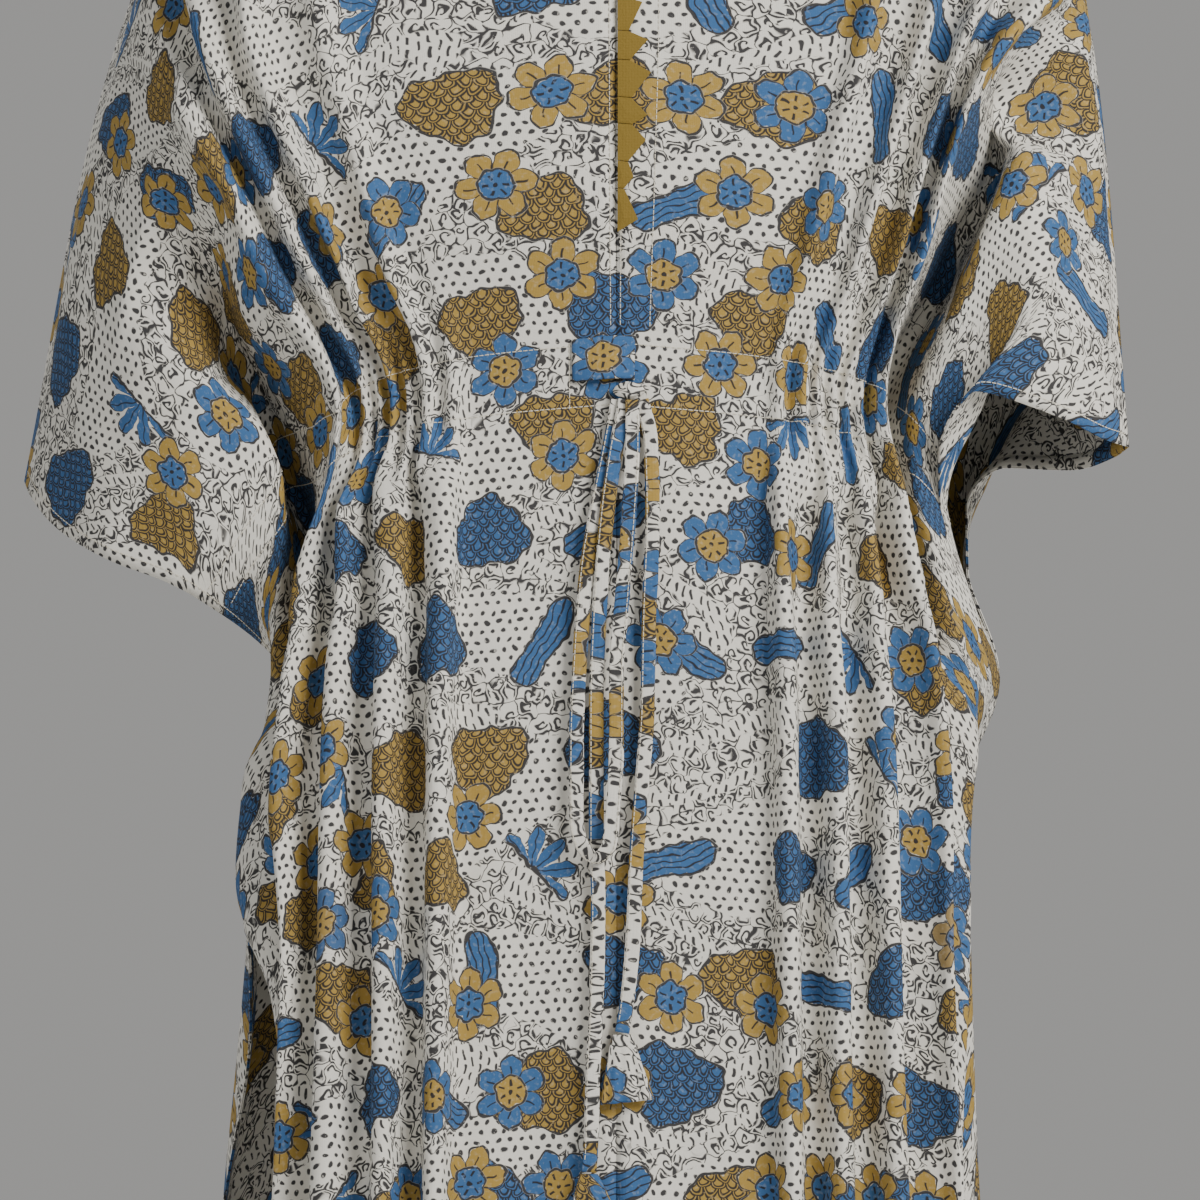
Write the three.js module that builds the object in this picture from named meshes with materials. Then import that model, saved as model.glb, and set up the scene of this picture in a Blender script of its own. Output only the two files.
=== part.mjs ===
// A drawstring kaftan as it hangs when worn: one wide front and one wide back, joined along the
// shoulders and down short side seams, with open sleeves, side slits and a gathered waist.
// Units are millimetres, +Z is up, the front faces -Y, and the origin is between the shoulders,
// level with the neck ends of the two shoulder seams.
import * as THREE from "three";

// The cut, measured on the flat cloth. "out" is the distance from the centre line and "drop" the
// distance down from the neck end of the shoulder seam.
const NECK_HALF = 72;
const NOTCH_DROP = 218;
const BACK_NECK_DROP = 24;
const CASING_DROP = 430;
const UNDERARM_DROP = 525;
const SLIT_TOP_DROP = 625;
const CENTRE_LENGTH = 1240;
const PLACKET_END_DROP = 390;
// Where a line across the cloth that starts at "drop" on the centre line ends at the side edge.
const SIDE_EDGE = [
  { drop: 0, edgeDrop: 235, edgeOut: 590 },
  { drop: CASING_DROP, edgeDrop: CASING_DROP, edgeOut: 500 },
  { drop: UNDERARM_DROP, edgeDrop: UNDERARM_DROP, edgeOut: 455 },
  { drop: SLIT_TOP_DROP, edgeDrop: SLIT_TOP_DROP, edgeOut: 425 },
  { drop: CENTRE_LENGTH, edgeDrop: 1155, edgeOut: 425 },
];
// The neckline of the front, a round neck with a small notch at its foot.
const NECKLINE = [
  { drop: 0, out: NECK_HALF },
  { drop: 70, out: 70 },
  { drop: 140, out: 60 },
  { drop: 190, out: 36 },
  { drop: 211, out: 12 },
  { drop: NOTCH_DROP, out: 0 },
];
// Guide lines down the cloth, from the centre (0) to the side edge (1). They crowd at the waist
// casing, where the drawstring gathers the cloth between GATHER_IN and GATHER_OUT.
const GATHER_IN = 0.12;
const GATHER_OUT = 0.52;
const GUIDES = [
  { guide: GATHER_IN, shoulder: 118, casing: 82, slitTop: 84, hem: 92 },
  { guide: GATHER_OUT, shoulder: 350, casing: 238, slitTop: 256, hem: 266 },
];

// How far from the centre line the guide lines beside the gathers hang, measured along the body: the
// inner one, and the outer one on each side.
const HUNG = [
  { drop: 0, inner: 118, left: 350, right: 350 },
  { drop: 110, inner: 124, left: 312, right: 290 },
  { drop: 218, inner: 122, left: 258, right: 222 },
  { drop: 320, inner: 102, left: 205, right: 182 },
  { drop: CASING_DROP, inner: 84, left: 165, right: 152 },
  { drop: UNDERARM_DROP, inner: 83, left: 170, right: 162 },
  { drop: SLIT_TOP_DROP, inner: 84, left: 178, right: 172 },
  { drop: 840, inner: 86, left: 176, right: 176 },
  { drop: CENTRE_LENGTH, inner: 92, left: 196, right: 196 },
];

// The cloth's wall, and the clearances at the seams and at the slit.
const WALL = 1.6;
const SEAM_GAP = 0.3;
const PLACKET_GAP = 0.3;

// The hanging form. Each row is one line across the cloth: the drop where it starts, then four places
// on it as [x, y, z], which are its start at the neckline or centre, the side of the body, the arm
// and the side edge.
const namedRows = (rows) => rows.map(([drop, start, side, arm, edge]) => ({ drop, start, side, arm, edge }));
const FRONT_LEFT = namedRows([
  [0, [72, 0, 0], [200, 0, -58], [295, 0, -254], [343, 0, -490]],
  [40, [71, -32, -24], [199, -38, -72], [292, -30, -288], [336, -24, -500]],
  [110, [66, -82, -92], [195, -80, -132], [282, -62, -346], [318, -52, -518]],
  [218, [0, -118, -218], [186, -108, -232], [260, -92, -426], [284, -82, -537]],
  [320, [0, -120, -320], [165, -100, -345], [234, -98, -484], [252, -88, -549]],
  [430, [0, -110, -430], [142, -80, -453], [202, -88, -520], [230, -76, -562]],
  [525, [0, -118, -525], [148, -94, -545], [192, -66, -598], [189, 0, -614]],
  [625, [0, -128, -625], [152, -106, -644], [206, -68, -712], [213, 0, -733]],
  [720, [0, -134, -720], [154, -116, -738], [180, -92, -784], [168, -56, -800]],
  [840, [0, -140, -840], [158, -122, -856], [170, -98, -886], [158, -62, -905]],
  [1240, [0, -152, -1240], [186, -138, -1246], [224, -104, -1254], [200, -60, -1262]],
]);
const FRONT_RIGHT = namedRows([
  [0, [72, 0, 0], [198, -2, -58], [277, -16, -250], [292, -50, -472]],
  [40, [71, -32, -24], [197, -40, -72], [272, -50, -284], [280, -72, -470]],
  [110, [66, -82, -92], [192, -82, -132], [258, -86, -326], [248, -96, -457]],
  [218, [0, -118, -218], [182, -110, -232], [232, -110, -388], [200, -106, -443]],
  [320, [0, -120, -320], [165, -100, -345], [206, -90, -448], [181, -82, -476]],
  [430, [0, -110, -430], [144, -80, -453], [186, -66, -502], [184, -60, -524]],
  [525, [0, -118, -525], [150, -94, -545], [204, -56, -592], [223, 0, -604]],
  [625, [0, -128, -625], [152, -106, -642], [190, -66, -672], [194, 0, -682]],
  [720, [0, -134, -720], [154, -116, -735], [186, -86, -762], [180, -54, -772]],
  [840, [0, -140, -840], [156, -122, -852], [182, -94, -868], [172, -60, -872]],
  [1240, [0, -152, -1240], [182, -138, -1246], [214, -102, -1252], [188, -60, -1258]],
]);
const BACK_LEFT = namedRows([
  [0, [72, 0, 0], [200, 0, -58], [295, 0, -254], [343, 0, -490]],
  [24, [0, 60, -18], [199, 24, -66], [293, 20, -272], [339, 14, -497]],
  [110, [0, 84, -98], [195, 80, -132], [282, 64, -346], [322, 48, -514]],
  [218, [0, 96, -206], [186, 100, -232], [262, 90, -426], [292, 76, -530]],
  [320, [0, 92, -308], [165, 92, -345], [238, 94, -484], [258, 80, -546]],
  [430, [0, 82, -418], [142, 74, -453], [206, 84, -522], [234, 68, -562]],
  [525, [0, 94, -512], [150, 90, -545], [194, 60, -598], [189, 0, -614]],
  [625, [0, 106, -612], [156, 102, -644], [208, 64, -712], [213, 0, -733]],
  [720, [0, 112, -708], [164, 110, -740], [214, 74, -794], [214, 18, -812]],
  [840, [0, 118, -828], [172, 116, -858], [224, 78, -898], [230, 16, -918]],
  [1240, [0, 132, -1232], [196, 130, -1244], [252, 84, -1256], [258, 14, -1264]],
]);
const BACK_RIGHT = namedRows([
  [0, [72, 0, 0], [198, -2, -58], [277, -16, -250], [292, -50, -472]],
  [24, [0, 60, -18], [197, 22, -66], [276, 4, -268], [286, -38, -477]],
  [110, [0, 84, -98], [192, 78, -132], [268, 36, -338], [264, -8, -484]],
  [218, [0, 96, -206], [182, 96, -232], [246, 58, -420], [228, 20, -482]],
  [320, [0, 92, -308], [165, 90, -345], [224, 62, -476], [206, 22, -504]],
  [430, [0, 82, -418], [144, 72, -453], [206, 56, -530], [206, 14, -542]],
  [525, [0, 94, -512], [152, 90, -545], [208, 50, -594], [223, 0, -604]],
  [625, [0, 106, -612], [156, 102, -642], [194, 62, -674], [194, 0, -682]],
  [720, [0, 112, -708], [162, 110, -736], [198, 72, -768], [194, 18, -778]],
  [840, [0, 118, -828], [168, 116, -848], [202, 76, -876], [199, 16, -888]],
  [1240, [0, 132, -1232], [188, 128, -1244], [232, 82, -1256], [230, 14, -1262]],
]);

// The folds. Each runs down the cloth from guide "top" at drop "from" to guide "foot" at drop "to",
// "half" a guide wide on each side. A positive lift is a ridge and a negative one a valley, and its
// size is the steepest slope of the fold's sides.
const FRONT_LEFT_FOLDS = [
  { top: 0.69, from: 80, foot: 0.73, to: 540, half: 0.11, lift: -0.5 },
  { top: 0.72, from: 290, foot: 0.73, to: 540, half: 0.12, lift: -0.6 },
  { top: 0.54, from: 40, foot: 0.55, to: 520, half: 0.06, lift: 0.75 },
  { top: 0.43, from: 60, foot: 0.43, to: 400, half: 0.06, lift: 0.7 },
  { top: 0.32, from: 30, foot: 0.31, to: 390, half: 0.055, lift: 0.65 },
  { top: 0.2, from: 170, foot: 0.2, to: 380, half: 0.04, lift: 0.45 },
  { top: 0.06, from: 500, foot: 0.06, to: 1400, half: 0.04, lift: -0.35 },
  { top: 0.17, from: 490, foot: 0.17, to: 1400, half: 0.055, lift: 1.3 },
  { top: 0.29, from: 490, foot: 0.29, to: 1400, half: 0.065, lift: 1.3 },
  { top: 0.43, from: 490, foot: 0.43, to: 1400, half: 0.07, lift: 1.25 },
  { top: 0.59, from: 480, foot: 0.59, to: 1400, half: 0.085, lift: 0.75 },
  { top: 0.8, from: 560, foot: 0.8, to: 1400, half: 0.09, lift: 0.3 },
];
const FRONT_RIGHT_FOLDS = [
  { top: 0.65, from: 60, foot: 0.7, to: 530, half: 0.11, lift: -0.6 },
  { top: 0.68, from: 240, foot: 0.7, to: 530, half: 0.12, lift: -0.5 },
  { top: 0.5, from: 40, foot: 0.53, to: 520, half: 0.06, lift: 0.75 },
  { top: 0.38, from: 50, foot: 0.4, to: 400, half: 0.06, lift: 0.7 },
  { top: 0.26, from: 60, foot: 0.27, to: 390, half: 0.05, lift: 0.6 },
  { top: 0.16, from: 180, foot: 0.16, to: 380, half: 0.035, lift: 0.45 },
  { top: 0.05, from: 500, foot: 0.05, to: 1400, half: 0.035, lift: -0.3 },
  { top: 0.16, from: 490, foot: 0.15, to: 1400, half: 0.05, lift: 1.2 },
  { top: 0.27, from: 490, foot: 0.26, to: 1400, half: 0.06, lift: 1.25 },
  { top: 0.4, from: 490, foot: 0.4, to: 1400, half: 0.07, lift: 1.3 },
  { top: 0.56, from: 480, foot: 0.56, to: 1400, half: 0.085, lift: 0.95 },
  { top: 0.78, from: 560, foot: 0.78, to: 1400, half: 0.09, lift: 0.3 },
];
const BACK_FOLDS = [
  { top: 0.68, from: 80, foot: 0.71, to: 540, half: 0.11, lift: -0.5 },
  { top: 0.7, from: 290, foot: 0.71, to: 540, half: 0.12, lift: -0.5 },
  { top: 0.52, from: 50, foot: 0.54, to: 520, half: 0.06, lift: 0.75 },
  { top: 0.4, from: 70, foot: 0.41, to: 400, half: 0.06, lift: 0.7 },
  { top: 0.27, from: 90, foot: 0.28, to: 390, half: 0.055, lift: 0.6 },
  { top: 0.05, from: 520, foot: 0.05, to: 1400, half: 0.04, lift: 0.3 },
  { top: 0.16, from: 490, foot: 0.15, to: 1400, half: 0.05, lift: 1.15 },
  { top: 0.28, from: 490, foot: 0.28, to: 1400, half: 0.065, lift: 1.25 },
  { top: 0.42, from: 490, foot: 0.42, to: 1400, half: 0.07, lift: 1.2 },
  { top: 0.58, from: 480, foot: 0.58, to: 1400, half: 0.085, lift: 0.8 },
  { top: 0.79, from: 560, foot: 0.79, to: 1400, half: 0.09, lift: 0.35 },
];
// The gathers, a row of pleats from GATHER_IN to GATHER_OUT on each side, each as wide as its share,
// with how far it reaches above and below the casing.
const PLEATS = [
  { share: 0.9, up: 70, down: 80, lift: 0.7 },
  { share: 1.1, up: 120, down: 170, lift: 0.85 },
  { share: 0.9, up: 90, down: 120, lift: 0.85 },
  { share: 1.2, up: 150, down: 190, lift: 0.9 },
  { share: 0.9, up: 80, down: 120, lift: 0.85 },
  { share: 1.1, up: 130, down: 150, lift: 0.85 },
  { share: 0.9, up: 70, down: 90, lift: 0.75 },
];
// How far a fold takes to start or end, the steepest slope of the cloth, how pointed a ridge is, and
// how near the seams the cloth lies calm.
const FOLD_FADE = 80;
const STEEPEST = 0.97;
const FOLD_SHARPNESS = 0.6;
const SEAM_CALM = 40;
// Between two guide lines the folds are scaled together, by halving this range, until the cloth fits.
const FOLD_SCALE = { least: 0.1, most: 1.8, halvings: 14 };

// How finely the panels are faceted.
const ROWS_FRONT = [
  0, 50, 100, 150, 190, NOTCH_DROP, 260, 305, 350, PLACKET_END_DROP, CASING_DROP, 475,
  UNDERARM_DROP, 575, SLIT_TOP_DROP, 690, 775, 890, 1050, CENTRE_LENGTH,
];
const ROWS_BACK = [
  0, 10, 18, BACK_NECK_DROP, 80, 140, 205, 270, 330, 385, CASING_DROP, 475,
  UNDERARM_DROP, 575, SLIT_TOP_DROP, 700, 830, 1020, CENTRE_LENGTH,
];
const FRONT_STEPS = { inner: 5, gather: 28, outer: 20 };
const BACK_STEPS = { inner: 4, gather: 20, outer: 15 };

// The placket's mustard trim: cloth triangles folded to points, sewn along the wearer's left edge of
// the slit. Each reaches out to its tip, and its neighbours meet it at a notch.
const POINT_TIPS = [
  { out: 11, drop: 227 },
  { out: 13.5, drop: 247 },
  { out: 15, drop: 265 },
  { out: 14, drop: 289 },
  { out: 13.5, drop: 303 },
  { out: 8, drop: 324 },
  { out: 10.5, drop: 347 },
];
const POINT_NOTCHES = [
  { out: 4, drop: 225 },
  { out: 5.2, drop: 243 },
  { out: 5.8, drop: 259 },
  { out: 6.6, drop: 280 },
  { out: 7, drop: 295 },
  { out: 5.4, drop: 316 },
  { out: 3.6, drop: 331 },
  { out: 0.6, drop: 355 },
];
const POINT_START = 0.5;
const POINT_THICKNESS = 1.4;
const POINT_LIFT = 0.5;

// The waist's opening: a short flap of the casing that the drawstring comes out under.
const FLAP = { left: -24, right: 10, top: 412, bottom: 436, thickness: 1.5, lift: 1, bulge: 2.2 };

// The drawstring, a flat tube of the same cloth. Places are [x, z, off], where off is how far the
// back of the tube hangs in front of the front panel's centre line. Where it runs across, it leans.
const TIE_WIDTH = 8.6;
const TIE_THICKNESS = 1.4;
const TIE_LEAN = 0.6;
const TIE_LOOP = [
  [1, -448.2, 4], [-3, -470, 4.8], [-9, -500, 5.6], [-16, -540, 6], [-20, -590, 6], [-22, -640, 6],
  [-22, -680, 6.5], [-19, -693, 9], [-11, -700, 12], [-4, -693, 13.5], [-2, -674, 13.5],
  [0, -640, 13], [0, -600, 12.5], [3, -560, 12], [7, -510, 11.5], [9, -470, 10.2], [9, -448.4, 9],
];
const TIE_TAIL_LEFT = [
  [5, -448.2, 6.5], [0, -475, 7.9], [-5, -510, 8.7], [-9, -560, 8], [-11, -620, 7], [-11, -660, 6],
  [-11, -690, 5.6], [-10, -720, 5.6], [-11, -780, 5.8], [-13, -820, 6], [-14, -860, 6],
  [-15, -872, 6],
];
const TIE_TAIL_RIGHT = [
  [14, -448.2, 4], [19, -470, 5.2], [20, -510, 6.4], [18, -570, 6.4], [17, -620, 6],
  [14, -660, 6], [11, -700, 6], [9, -745, 6], [5, -785, 6], [3, -796, 6],
];
const TIE_KNOT = { x: 7, z: -443, off: 5.7, width: 18, radius: 5 };
// The ends of the drawstring, small skirts of cloth folded double, thicker at the foot, whose hem
// turns up a little to one side.
const TIE_END_LEFT = { x: -15, top: -873.1, off: 6, height: 42, topWidth: 10, footWidth: 40, lean: 4 };
const TIE_END_RIGHT = { x: 3, top: -797.1, off: 6, height: 37, topWidth: 11, footWidth: 30, lean: 3 };
const TIE_END_THICKNESS = { top: 2.6, foot: 5 };
const TIE_END_TURN = 0.96;

const COTTON = new THREE.MeshStandardMaterial({ color: 0xd9d6cc, roughness: 0.85, metalness: 0 });
const MUSTARD = new THREE.MeshStandardMaterial({ color: 0x9a7a1e, roughness: 0.8, metalness: 0 });

const clamp = (x, low, high) => Math.min(high, Math.max(low, x));
const mix = (a, b, f) => a + (b - a) * f;
const smooth = (x) => {
  const f = clamp(x, 0, 1);
  return f * f * (3 - 2 * f);
};

// A curve through (knots, values) that never swings past its points.
function follow(knots, values, x) {
  const last = knots.length - 1;
  const at = clamp(x, knots[0], knots[last]);
  let k = 0;
  while (k < last - 1 && at > knots[k + 1]) k += 1;
  const gaps = knots.slice(1).map((v, i) => v - knots[i]);
  const rises = gaps.map((g, i) => (values[i + 1] - values[i]) / g);
  const slopeAt = (i) => {
    if (i === 0) return rises[0];
    if (i === last) return rises[last - 1];
    if (rises[i - 1] * rises[i] <= 0) return 0;
    const a = 2 * gaps[i] + gaps[i - 1];
    const b = gaps[i] + 2 * gaps[i - 1];
    return (a + b) / (a / rises[i - 1] + b / rises[i]);
  };
  const g = gaps[k];
  const f = (at - knots[k]) / g;
  const f2 = f * f;
  const f3 = f2 * f;
  return (
    (2 * f3 - 3 * f2 + 1) * values[k] +
    (f3 - 2 * f2 + f) * g * slopeAt(k) +
    (3 * f2 - 2 * f3) * values[k + 1] +
    (f3 - f2) * g * slopeAt(k + 1)
  );
}

// The cut: where a line across the cloth starts, and how far out each guide line is on it.
const valuesOf = (table, name) => table.map((row) => row[name]);
const follow2 = (table, x, y, at) => follow(valuesOf(table, x), valuesOf(table, y), at);
function startOut(panel, drop) {
  if (panel.face < 0) return drop >= NOTCH_DROP ? 0 : follow2(NECKLINE, "drop", "out", drop);
  const share = clamp(drop / BACK_NECK_DROP, 0, 1);
  return NECK_HALF * Math.sqrt(1 - share * share);
}
const GUIDE_DROPS = [0, CASING_DROP, SLIT_TOP_DROP, CENTRE_LENGTH];
function guideTable(panel, drop) {
  const table = [{ guide: 0, out: startOut(panel, drop) }];
  for (const g of GUIDES) {
    const outs = [g.shoulder, g.casing, g.slitTop, g.hem];
    table.push({ guide: g.guide, out: follow(GUIDE_DROPS, outs, drop) });
  }
  table.push({ guide: 1, out: follow2(SIDE_EDGE, "drop", "edgeOut", drop) });
  return table;
}

// One side of the base form at a drop, as a finely sampled line with its length at each point. A fifth
// place, between the start and the side, rounds the chest and the back.
const SAMPLES = 120;
const ROUNDING = [0.6, 0.22, 0.36];
function baseLine(panel, side, drop) {
  const rows = panel.rows[side];
  const drops = valuesOf(rows, "drop");
  const place = (name) => [0, 1, 2].map((k) => follow(drops, rows.map((r) => r[name][k]), drop));
  const start = place("start");
  start[0] = startOut(panel, drop);
  const body = place("side");
  const middle = ROUNDING.map((share, k) => mix(start[k], body[k], share));
  const stations = [start, middle, body, place("arm"), place("edge")];
  const gone = [0];
  for (let i = 1; i < stations.length; i += 1)
    gone.push(gone[i - 1] + Math.hypot(...stations[i].map((v, k) => v - stations[i - 1][k])));
  const points = [];
  const lengths = [0];
  for (let i = 0; i <= SAMPLES; i += 1) {
    const at = (gone[4] * i) / SAMPLES;
    const p = [0, 1, 2].map((k) => follow(gone, stations.map((s) => s[k]), at));
    if (i) lengths.push(lengths[i - 1] + Math.hypot(...p.map((v, k) => v - points[i - 1][k])));
    points.push(p);
  }
  return { points, lengths, total: lengths[SAMPLES] };
}
function alongBase(line, share) {
  const at = clamp(share, 0, 1) * line.total;
  let k = 0;
  while (k < SAMPLES - 1 && line.lengths[k + 1] < at) k += 1;
  const f = (at - line.lengths[k]) / (line.lengths[k + 1] - line.lengths[k] || 1);
  return line.points[k].map((v, i) => mix(v, line.points[k + 1][i], clamp(f, 0, 1)));
}

// The slope that a ridge one wide on each side gives the cloth at x.
function ridgeSlope(x) {
  if (Math.abs(x) >= 1) return 0;
  const wave = Math.sin(Math.PI * x);
  return (wave * Math.hypot(1, FOLD_SHARPNESS)) / Math.hypot(wave, FOLD_SHARPNESS);
}
function foldSlope(fold, guide, drop) {
  const share = (drop - fold.from) / (fold.to - fold.from);
  const starting = smooth((drop - fold.from) / FOLD_FADE + 0.5);
  const ending = smooth((fold.to - drop) / FOLD_FADE + 0.5);
  const across = (guide - mix(fold.top, fold.foot, share)) / fold.half;
  return starting * ending * fold.lift * ridgeSlope(across);
}
const PLEAT_WIDTH = (GATHER_OUT - GATHER_IN) / PLEATS.reduce((sum, p) => sum + p.share, 0);
function pleatSlope(guide, drop) {
  let left = GATHER_IN;
  for (const pleat of PLEATS) {
    const width = pleat.share * PLEAT_WIDTH;
    if (guide >= left && guide < left + width) {
      const reach = drop < CASING_DROP ? pleat.up : pleat.down;
      const fade = 1 - smooth(Math.abs(drop - CASING_DROP) / reach);
      return fade * pleat.lift * ridgeSlope((2 * (guide - left)) / width - 1);
    }
    left += width;
  }
  return 0;
}

// One side of a line across the cloth. Between the guide lines the folds take up the cloth that the
// base has no room for.
const STEPS = 300;
const REGIONS = [0, GATHER_IN, GATHER_OUT, 1].map((guide) => Math.round(guide * STEPS));
function foldLine(panel, side, drop) {
  const base = baseLine(panel, side, drop);
  const table = guideTable(panel, drop);
  const guides = valuesOf(table, "guide");
  const outs = valuesOf(table, "out");
  const fall = follow2(SIDE_EDGE, "drop", "edgeDrop", drop) - drop;
  const slant = Math.hypot(1, fall / (outs[3] - outs[0]));
  const steps = [];
  const large = [];
  const small = [];
  for (let i = 0; i < STEPS; i += 1) {
    const guide = (i + 0.5) / STEPS;
    const out = follow(guides, outs, guide);
    const calm = smooth((outs[3] - out) / SEAM_CALM) * smooth(drop / SEAM_CALM);
    steps.push(slant * (follow(guides, outs, (i + 1) / STEPS) - follow(guides, outs, i / STEPS)));
    large.push(calm * panel.folds[side].reduce((sum, f) => sum + foldSlope(f, guide, drop), 0));
    small.push(calm * pleatSlope(guide, drop));
  }
  const hung = ["inner", side].map((name) => slant * (follow2(HUNG, "drop", name, drop) - outs[0]));
  const targets = [0, ...hung, base.total];
  const reach = [0];
  const depth = [0];
  for (let k = 0; k < 3; k += 1) {
    const slopes = fitSlopes(steps, large, small, REGIONS[k], REGIONS[k + 1], targets[k + 1] - targets[k]);
    for (const [run, rise] of slopes) {
      reach.push(reach[reach.length - 1] + run);
      depth.push(depth[depth.length - 1] + rise);
    }
  }
  return { base, reach, depth: depth.map((d, i) => d - (depth[STEPS] * i) / STEPS) };
}
// The run and the rise of each step from one guide line to the next, which together fill the target.
function fitSlopes(steps, large, small, first, last, target) {
  const fill = (scale) => {
    const list = [];
    let total = 0;
    for (let i = first; i < last; i += 1) {
      const slope = clamp(scale * large[i] + small[i], -STEEPEST, STEEPEST);
      list.push([steps[i] * Math.sqrt(1 - slope * slope), steps[i] * slope]);
      total += list[i - first][0];
    }
    return { list, total };
  };
  let low = FOLD_SCALE.least;
  let high = FOLD_SCALE.most;
  for (let i = 0; i < FOLD_SCALE.halvings; i += 1) {
    const middle = (low + high) / 2;
    if (fill(middle).total > target) low = middle;
    else high = middle;
  }
  const made = fill((low + high) / 2);
  return made.list.map(([run, rise]) => [(run * target) / made.total, rise]);
}
const lineCache = new Map();
function lineAt(panel, side, drop) {
  const key = [panel.name, side, drop.toFixed(3)].join();
  if (!lineCache.has(key)) lineCache.set(key, foldLine(panel, side, drop));
  return lineCache.get(key);
}
function readLine(line, list, guide) {
  const at = clamp(guide, 0, 1) * STEPS;
  const k = Math.min(STEPS - 1, Math.floor(at));
  return mix(list[k], list[k + 1], at - k);
}
function basePoint(panel, side, guide, drop, share) {
  const line = lineAt(panel, side, drop);
  const p = alongBase(line.base, share ?? readLine(line, line.reach, guide) / line.reach[STEPS]);
  return new THREE.Vector3(side === "left" ? -p[0] : p[0], p[1], p[2]);
}
const NORMAL_REACH = 14;
function baseNormal(panel, side, guide, drop) {
  const line = lineAt(panel, side, drop);
  const share = readLine(line, line.reach, guide) / line.reach[STEPS];
  const near = NORMAL_REACH / line.base.total;
  const across = basePoint(panel, side, 0, drop, Math.min(1, share + near));
  across.sub(basePoint(panel, side, 0, drop, Math.max(0, share - near)));
  const down = basePoint(panel, side, 0, Math.min(CENTRE_LENGTH, drop + NORMAL_REACH), share);
  down.sub(basePoint(panel, side, 0, Math.max(0, drop - NORMAL_REACH), share));
  const normal = across.cross(down).normalize();
  return side === "left" ? normal.multiplyScalar(-panel.face) : normal.multiplyScalar(panel.face);
}

// A point on the outside of the cloth, at a guide line and the drop where its row starts.
function surfacePoint(panel, side, guide, drop) {
  const line = lineAt(panel, side, drop);
  const point = basePoint(panel, side, guide, drop);
  const normal = baseNormal(panel, side, guide, drop);
  point.addScaledVector(normal, -readLine(line, line.depth, guide));
  point.y += (panel.face * SEAM_GAP) / 2;
  return point;
}

// A wall from outer points and their faces: the same points moved in make its inside, and each edge
// that only one face uses gets a rim. At the points in "butted" the rim is square to Y, so that the
// front and the back meet face to face along their seams.
function wallGeometry(points, faces, thickness, butted = []) {
  const normals = points.map(() => new THREE.Vector3());
  const side1 = new THREE.Vector3();
  const side2 = new THREE.Vector3();
  for (const face of faces)
    face.forEach((v, i) => {
      side1.subVectors(points[face[(i + 1) % face.length]], points[v]);
      side2.subVectors(points[face[(i + face.length - 1) % face.length]], points[v]);
      const corner = side1.clone().cross(side2).normalize();
      normals[v].addScaledVector(corner, side1.angleTo(side2));
    });
  for (const v of butted) normals[v].y = 0;
  const inside = points.map((p, i) => p.clone().addScaledVector(normals[i].normalize(), -thickness));
  const count = points.length;
  const index = [];
  const rims = new Map();
  for (const face of faces) {
    const corners = face.length === 3 ? [face] : quadTriangles(points, face);
    for (const [a, b, c] of corners) index.push(a, b, c, count + a, count + c, count + b);
    face.forEach((a, i) => {
      const b = face[(i + 1) % face.length];
      if (rims.has(`${b},${a}`)) rims.delete(`${b},${a}`);
      else rims.set(`${a},${b}`, [a, b]);
    });
  }
  for (const [a, b] of rims.values()) index.push(a, count + a, b, b, count + a, count + b);
  const flat = [...points, ...inside].flatMap((p) => [p.x, p.y, p.z]);
  const geometry = new THREE.BufferGeometry();
  geometry.setAttribute("position", new THREE.Float32BufferAttribute(flat, 3));
  geometry.setIndex(index);
  geometry.computeVertexNormals();
  return geometry;
}
function quadTriangles(points, [a, b, c, d]) {
  const short = points[a].distanceTo(points[c]) < points[b].distanceTo(points[d]);
  return short ? [[a, b, c], [a, c, d]] : [[a, b, d], [b, c, d]];
}

// The guide lines where the facets meet, closest in the gathers.
function guidesAcross(steps) {
  const list = [0];
  for (let i = 1; i <= steps.inner; i += 1) list.push((GATHER_IN * i) / steps.inner);
  for (let i = 1; i <= steps.gather; i += 1) list.push(mix(GATHER_IN, GATHER_OUT, i / steps.gather));
  for (let i = 1; i <= steps.outer; i += 1) list.push(mix(GATHER_OUT, 1, i / steps.outer));
  return list;
}

// A whole panel, left and right halves in one sheet, open along the centre down to openTo.
function panelGeometry(panel, rows, steps, openTo) {
  const points = [];
  const faces = [];
  const butted = [];
  const halves = {};
  for (const side of ["left", "right"]) {
    const slitEdge = ((side === "left" ? -1 : 1) * PLACKET_GAP) / 2;
    halves[side] = rows.map((drop, i) =>
      guidesAcross(steps).map((guide, j) => {
        if (side === "right" && j === 0 && drop > openTo) return halves.left[i][0];
        const point = surfacePoint(panel, side, guide, drop);
        if (j === 0 && drop > openTo) point.x = 0;
        else if (j === 0 && startOut(panel, drop) === 0) point.x = slitEdge;
        if (onSeam(guide, drop)) butted.push(points.length);
        return points.push(point) - 1;
      }),
    );
  }
  for (const side of ["left", "right"]) {
    const grid = halves[side];
    const turned = (side === "left") === (panel.face < 0);
    for (let i = 0; i + 1 < grid.length; i += 1)
      for (let j = 0; j + 1 < grid[i].length; j += 1) {
        const face = [grid[i][j], grid[i][j + 1], grid[i + 1][j + 1], grid[i + 1][j]];
        faces.push(turned ? face : face.reverse());
      }
  }
  return wallGeometry(points, faces, WALL, butted);
}
// The shoulder seam runs along the first row, and the side seam down the side edge to the slit.
function onSeam(guide, drop) {
  return drop === 0 || (guide === 1 && drop >= UNDERARM_DROP && drop <= SLIT_TOP_DROP);
}

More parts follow.
